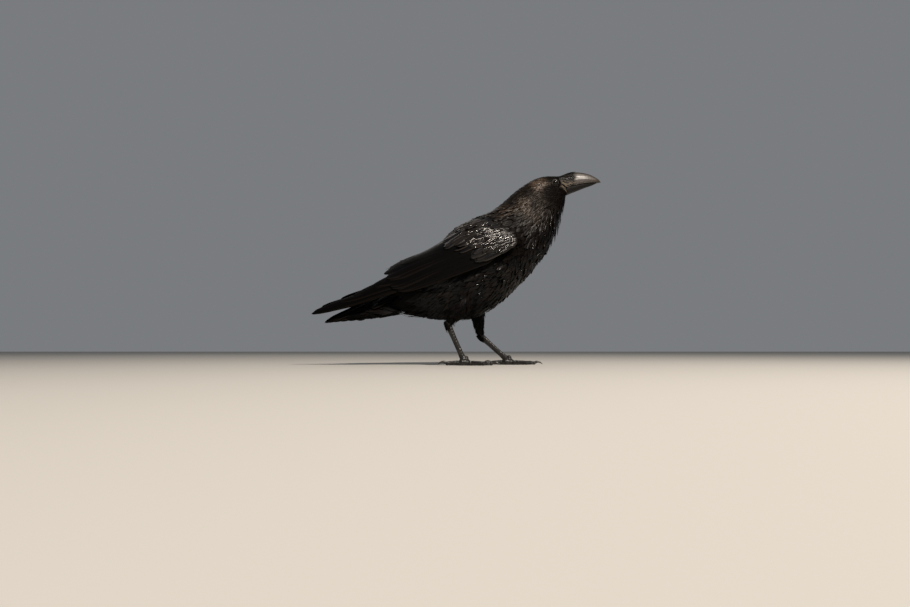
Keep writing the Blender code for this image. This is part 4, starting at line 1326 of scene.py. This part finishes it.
def makeLeg(side):
    toes = ("hallux", "inner", "middle", "outer")
    bones = [f"{part}_{side}" for part in ("shank", "palm", *(f"toe_{toe}" for toe in toes))]
    knobs = []
    for bone in bones:
        if bone.startswith("palm"):
            continue
        own, axis = boneOf(bone)
        run = own @ axis
        for near in (run < run.min() + legs["end"] * mm, run > run.max() - legs["end"] * mm):
            centre = own[near].mean(axis=0)
            offsets = own[near] - centre
            radius = np.linalg.norm(offsets - np.outer(offsets @ axis, axis), axis=1).max() * legs["knuckle"]
            if centre[2] > 40 * mm:
                radius = legs["hock"] * mm
            knobs.append((Vector(centre), min(radius, centre[2])))
    piece = fineCopy(f"leg_{side}", bones, 0.7 * mm, 6, knobs)
    mesh = evened(piece, 2, legs["voxel"] * mm)
    points, normals = pointsOf(mesh), normalsOf(mesh)
    trees = [treeOf(nodes[bone]) for bone in bones]
    apart = np.array([[tree.find_nearest(Vector(point))[3] for tree in trees] for point in points])
    nearest = apart.argmin(axis=1)
    lift, creaseShade, scutes = np.zeros((3, len(points)))
    for i, bone in enumerate(bones):
        mine = nearest == i
        own, axis = boneOf(bone)
        flat = not bone.startswith("shank")
        axis *= np.sign(axis[0]) if "toe" in bone else -np.sign(axis[2])
        front = square(np.array([0, 0, 1.0] if flat else [1.0, 0, 0]), axis)
        across = points[mine] @ np.cross(axis, front)
        period = legs["toeScute"] if flat else legs["shankScute"]
        run = (points[mine] - own.mean(axis=0)) @ axis / mm
        sway, pace = legs["plateWave"]
        run = run + sway * np.sin(across * pace)
        # overlapping plates along the front: each swells towards its far end and stops at a crease
        share = np.mod(run / period, 1.0)
        crease = sum(np.exp(-((share - end) / legs["creaseWidth"]) ** 2) for end in legs["creaseAt"])
        broad = smoothstep(*legs["front"], normals[mine] @ front)
        # small round pads where the plates end
        pebble = np.sin(run * legs["pebble"]) * np.sin(across / mm * legs["pebble"] + run)
        lift[mine] = (0.45 + 0.55 * share - crease) * broad + legs["pad"] * pebble * (1 - broad)
        # each plate's own shade, as good as random
        scutes[mine] = np.mod(np.sin((np.floor(run / period) + 17 * i) * 12.99) * 437.6, 1.0)
        # painted shade: black in the creases between the plates and in the hollows between the pads
        creaseShade[mine] = np.clip(crease * broad + 0.4 * smoothstep(-0.2, -0.8, pebble) * (1 - broad), 0, 1)
    sole = smoothstep(0.2 * mm, 1.2 * mm, points[:, 2])
    setPoints(mesh, points + normals * ((lift - 0.5) * legs["height"] * sole)[:, None] * mm)
    storeValue(mesh, "crease", creaseShade)
    storeValue(mesh, "scute", scutes)
    paint(piece, legScutes)
    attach(piece, "root")
    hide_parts(*bones)
    claws = [f"claw_{toe}_{side}" for toe in toes]
    horn = fineCopy(f"claws_{side}", claws, legs["claw"] * mm, 4)
    storeValue(horn.data, "wearAndPaintedLight", 0.2 * smoothstep(4 * mm, 0, pointsOf(horn.data)[:, 2]))
    paint(horn, clawHorn)
    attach(horn, "root")
    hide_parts(*claws)
    print(piece.name, len(mesh.polygons), "and", horn.name, len(horn.data.polygons), "faces")


# everything, in order
wingFlesh = ["wing_left", "wing_right"]
longFeathers = ["primaries_left", "primaries_right"]  # no flesh inside them
flesh = ["trunk", "neck", "head", "thigh_left", "thigh_right", *wingFlesh, *longFeathers, "tail"]
eyes = ["eye_left", "eye_right"]
eyeCentre = np.mean(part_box("eye_left"), axis=0)
featherTree = coatTree()
vaneShapes = vaneCollection()
makeView()
makeLight()
coatBlack = featherMaterial("contour feather keratin", 0.23)
# the flight feathers' and coverts' rims are lighter still: wear, and a painted highlight along each edge
flightBlack = featherMaterial("flight feather keratin", 0.25, level=0.1, edge="#1b1714")
covertBlack = featherMaterial("covert keratin", 0.2, level=0.3, edge="#3a332c")
# its brown is the pale of the painted highlight on the sunlit bristles
bristleBlack = featherMaterial("bristle keratin", 0.22, featherLook["pale"], 0.3)
billHorn = hornMaterial("bill horn", "#14110f", "#453d33", 0.38, 1500.0, 0.6)
# the lower bill's horn: the bill's horn made darker and duller as painted shade
shadedLowerHorn = hornMaterial("lower bill horn", "#0b0a0a", "#26221e", 0.4, 1500.0, 0.3)
clawHorn = hornMaterial("claw horn", "#121111", "#37322e", 0.28, 2200.0)
legScutes = scuteMaterial()
eyeWet = eyeMaterial()
lidSkin = lidMaterial()

bodySurface = fineCopy("body surface", [*flesh, *eyes], 1.5 * mm, 14)
bare = [name for name in flesh if name not in longFeathers]
fleshSurface = fineCopy("flesh surface", [*bare, *eyes], 1.5 * mm, 14)
makeSkin(fleshSurface, coatBlack)
bpy.data.objects.remove(fleshSurface)
wings = [makeWing(-1), makeWing(1)]
bodySolid = solidTree([name for name in bare if name not in wingFlesh])[0]
print("wing sheets")
bodyAll = bodyRoots(bodySurface.data, 3)
x, z = bodyAll["place"][:, 0], bodyAll["place"][:, 2]
regions = {  # each takes what the ones before it have left
    "coat_head": (x > 0.132) & (z > 0.262),
    "coat_throat": x > 0.132,
    "coat_neck": z > 0.24,
    "coat_front": x > 0.05,
    "coat_middle": x > -0.04,
    "coat_rear": x <= -0.04,
}
taken = np.zeros(len(x), bool)
for name, mask in regions.items():
    growCoat(name, chosen(bodyAll, mask & ~taken), bodySurface, coatBlack)
    taken |= mask
for i, wing in enumerate(wings):
    feathersOfWing(wing, 100 + 50 * i)
heels = together(heelRoots("right", 21), heelRoots("left", 22))
growCoat("heel_tufts", heels, bodySurface, coatBlack)
growCoat("rectrices", tailRoots(7), bodySurface, flightBlack)
makeBill()
billSurface = fineCopy("bill surface", ["head", "upper_bill", *eyes], 0.9 * mm, 10)
growCoat("bristles", bristleRoots(billSurface, 11), billSurface, bristleBlack)
for side, name in ((-1, "right"), (1, "left")):
    makeEye(side, name)
    makeLeg(name)
for helper in [bodySurface, billSurface, *(wing["sheet"] for wing in wings)]:
    bpy.data.objects.remove(helper)
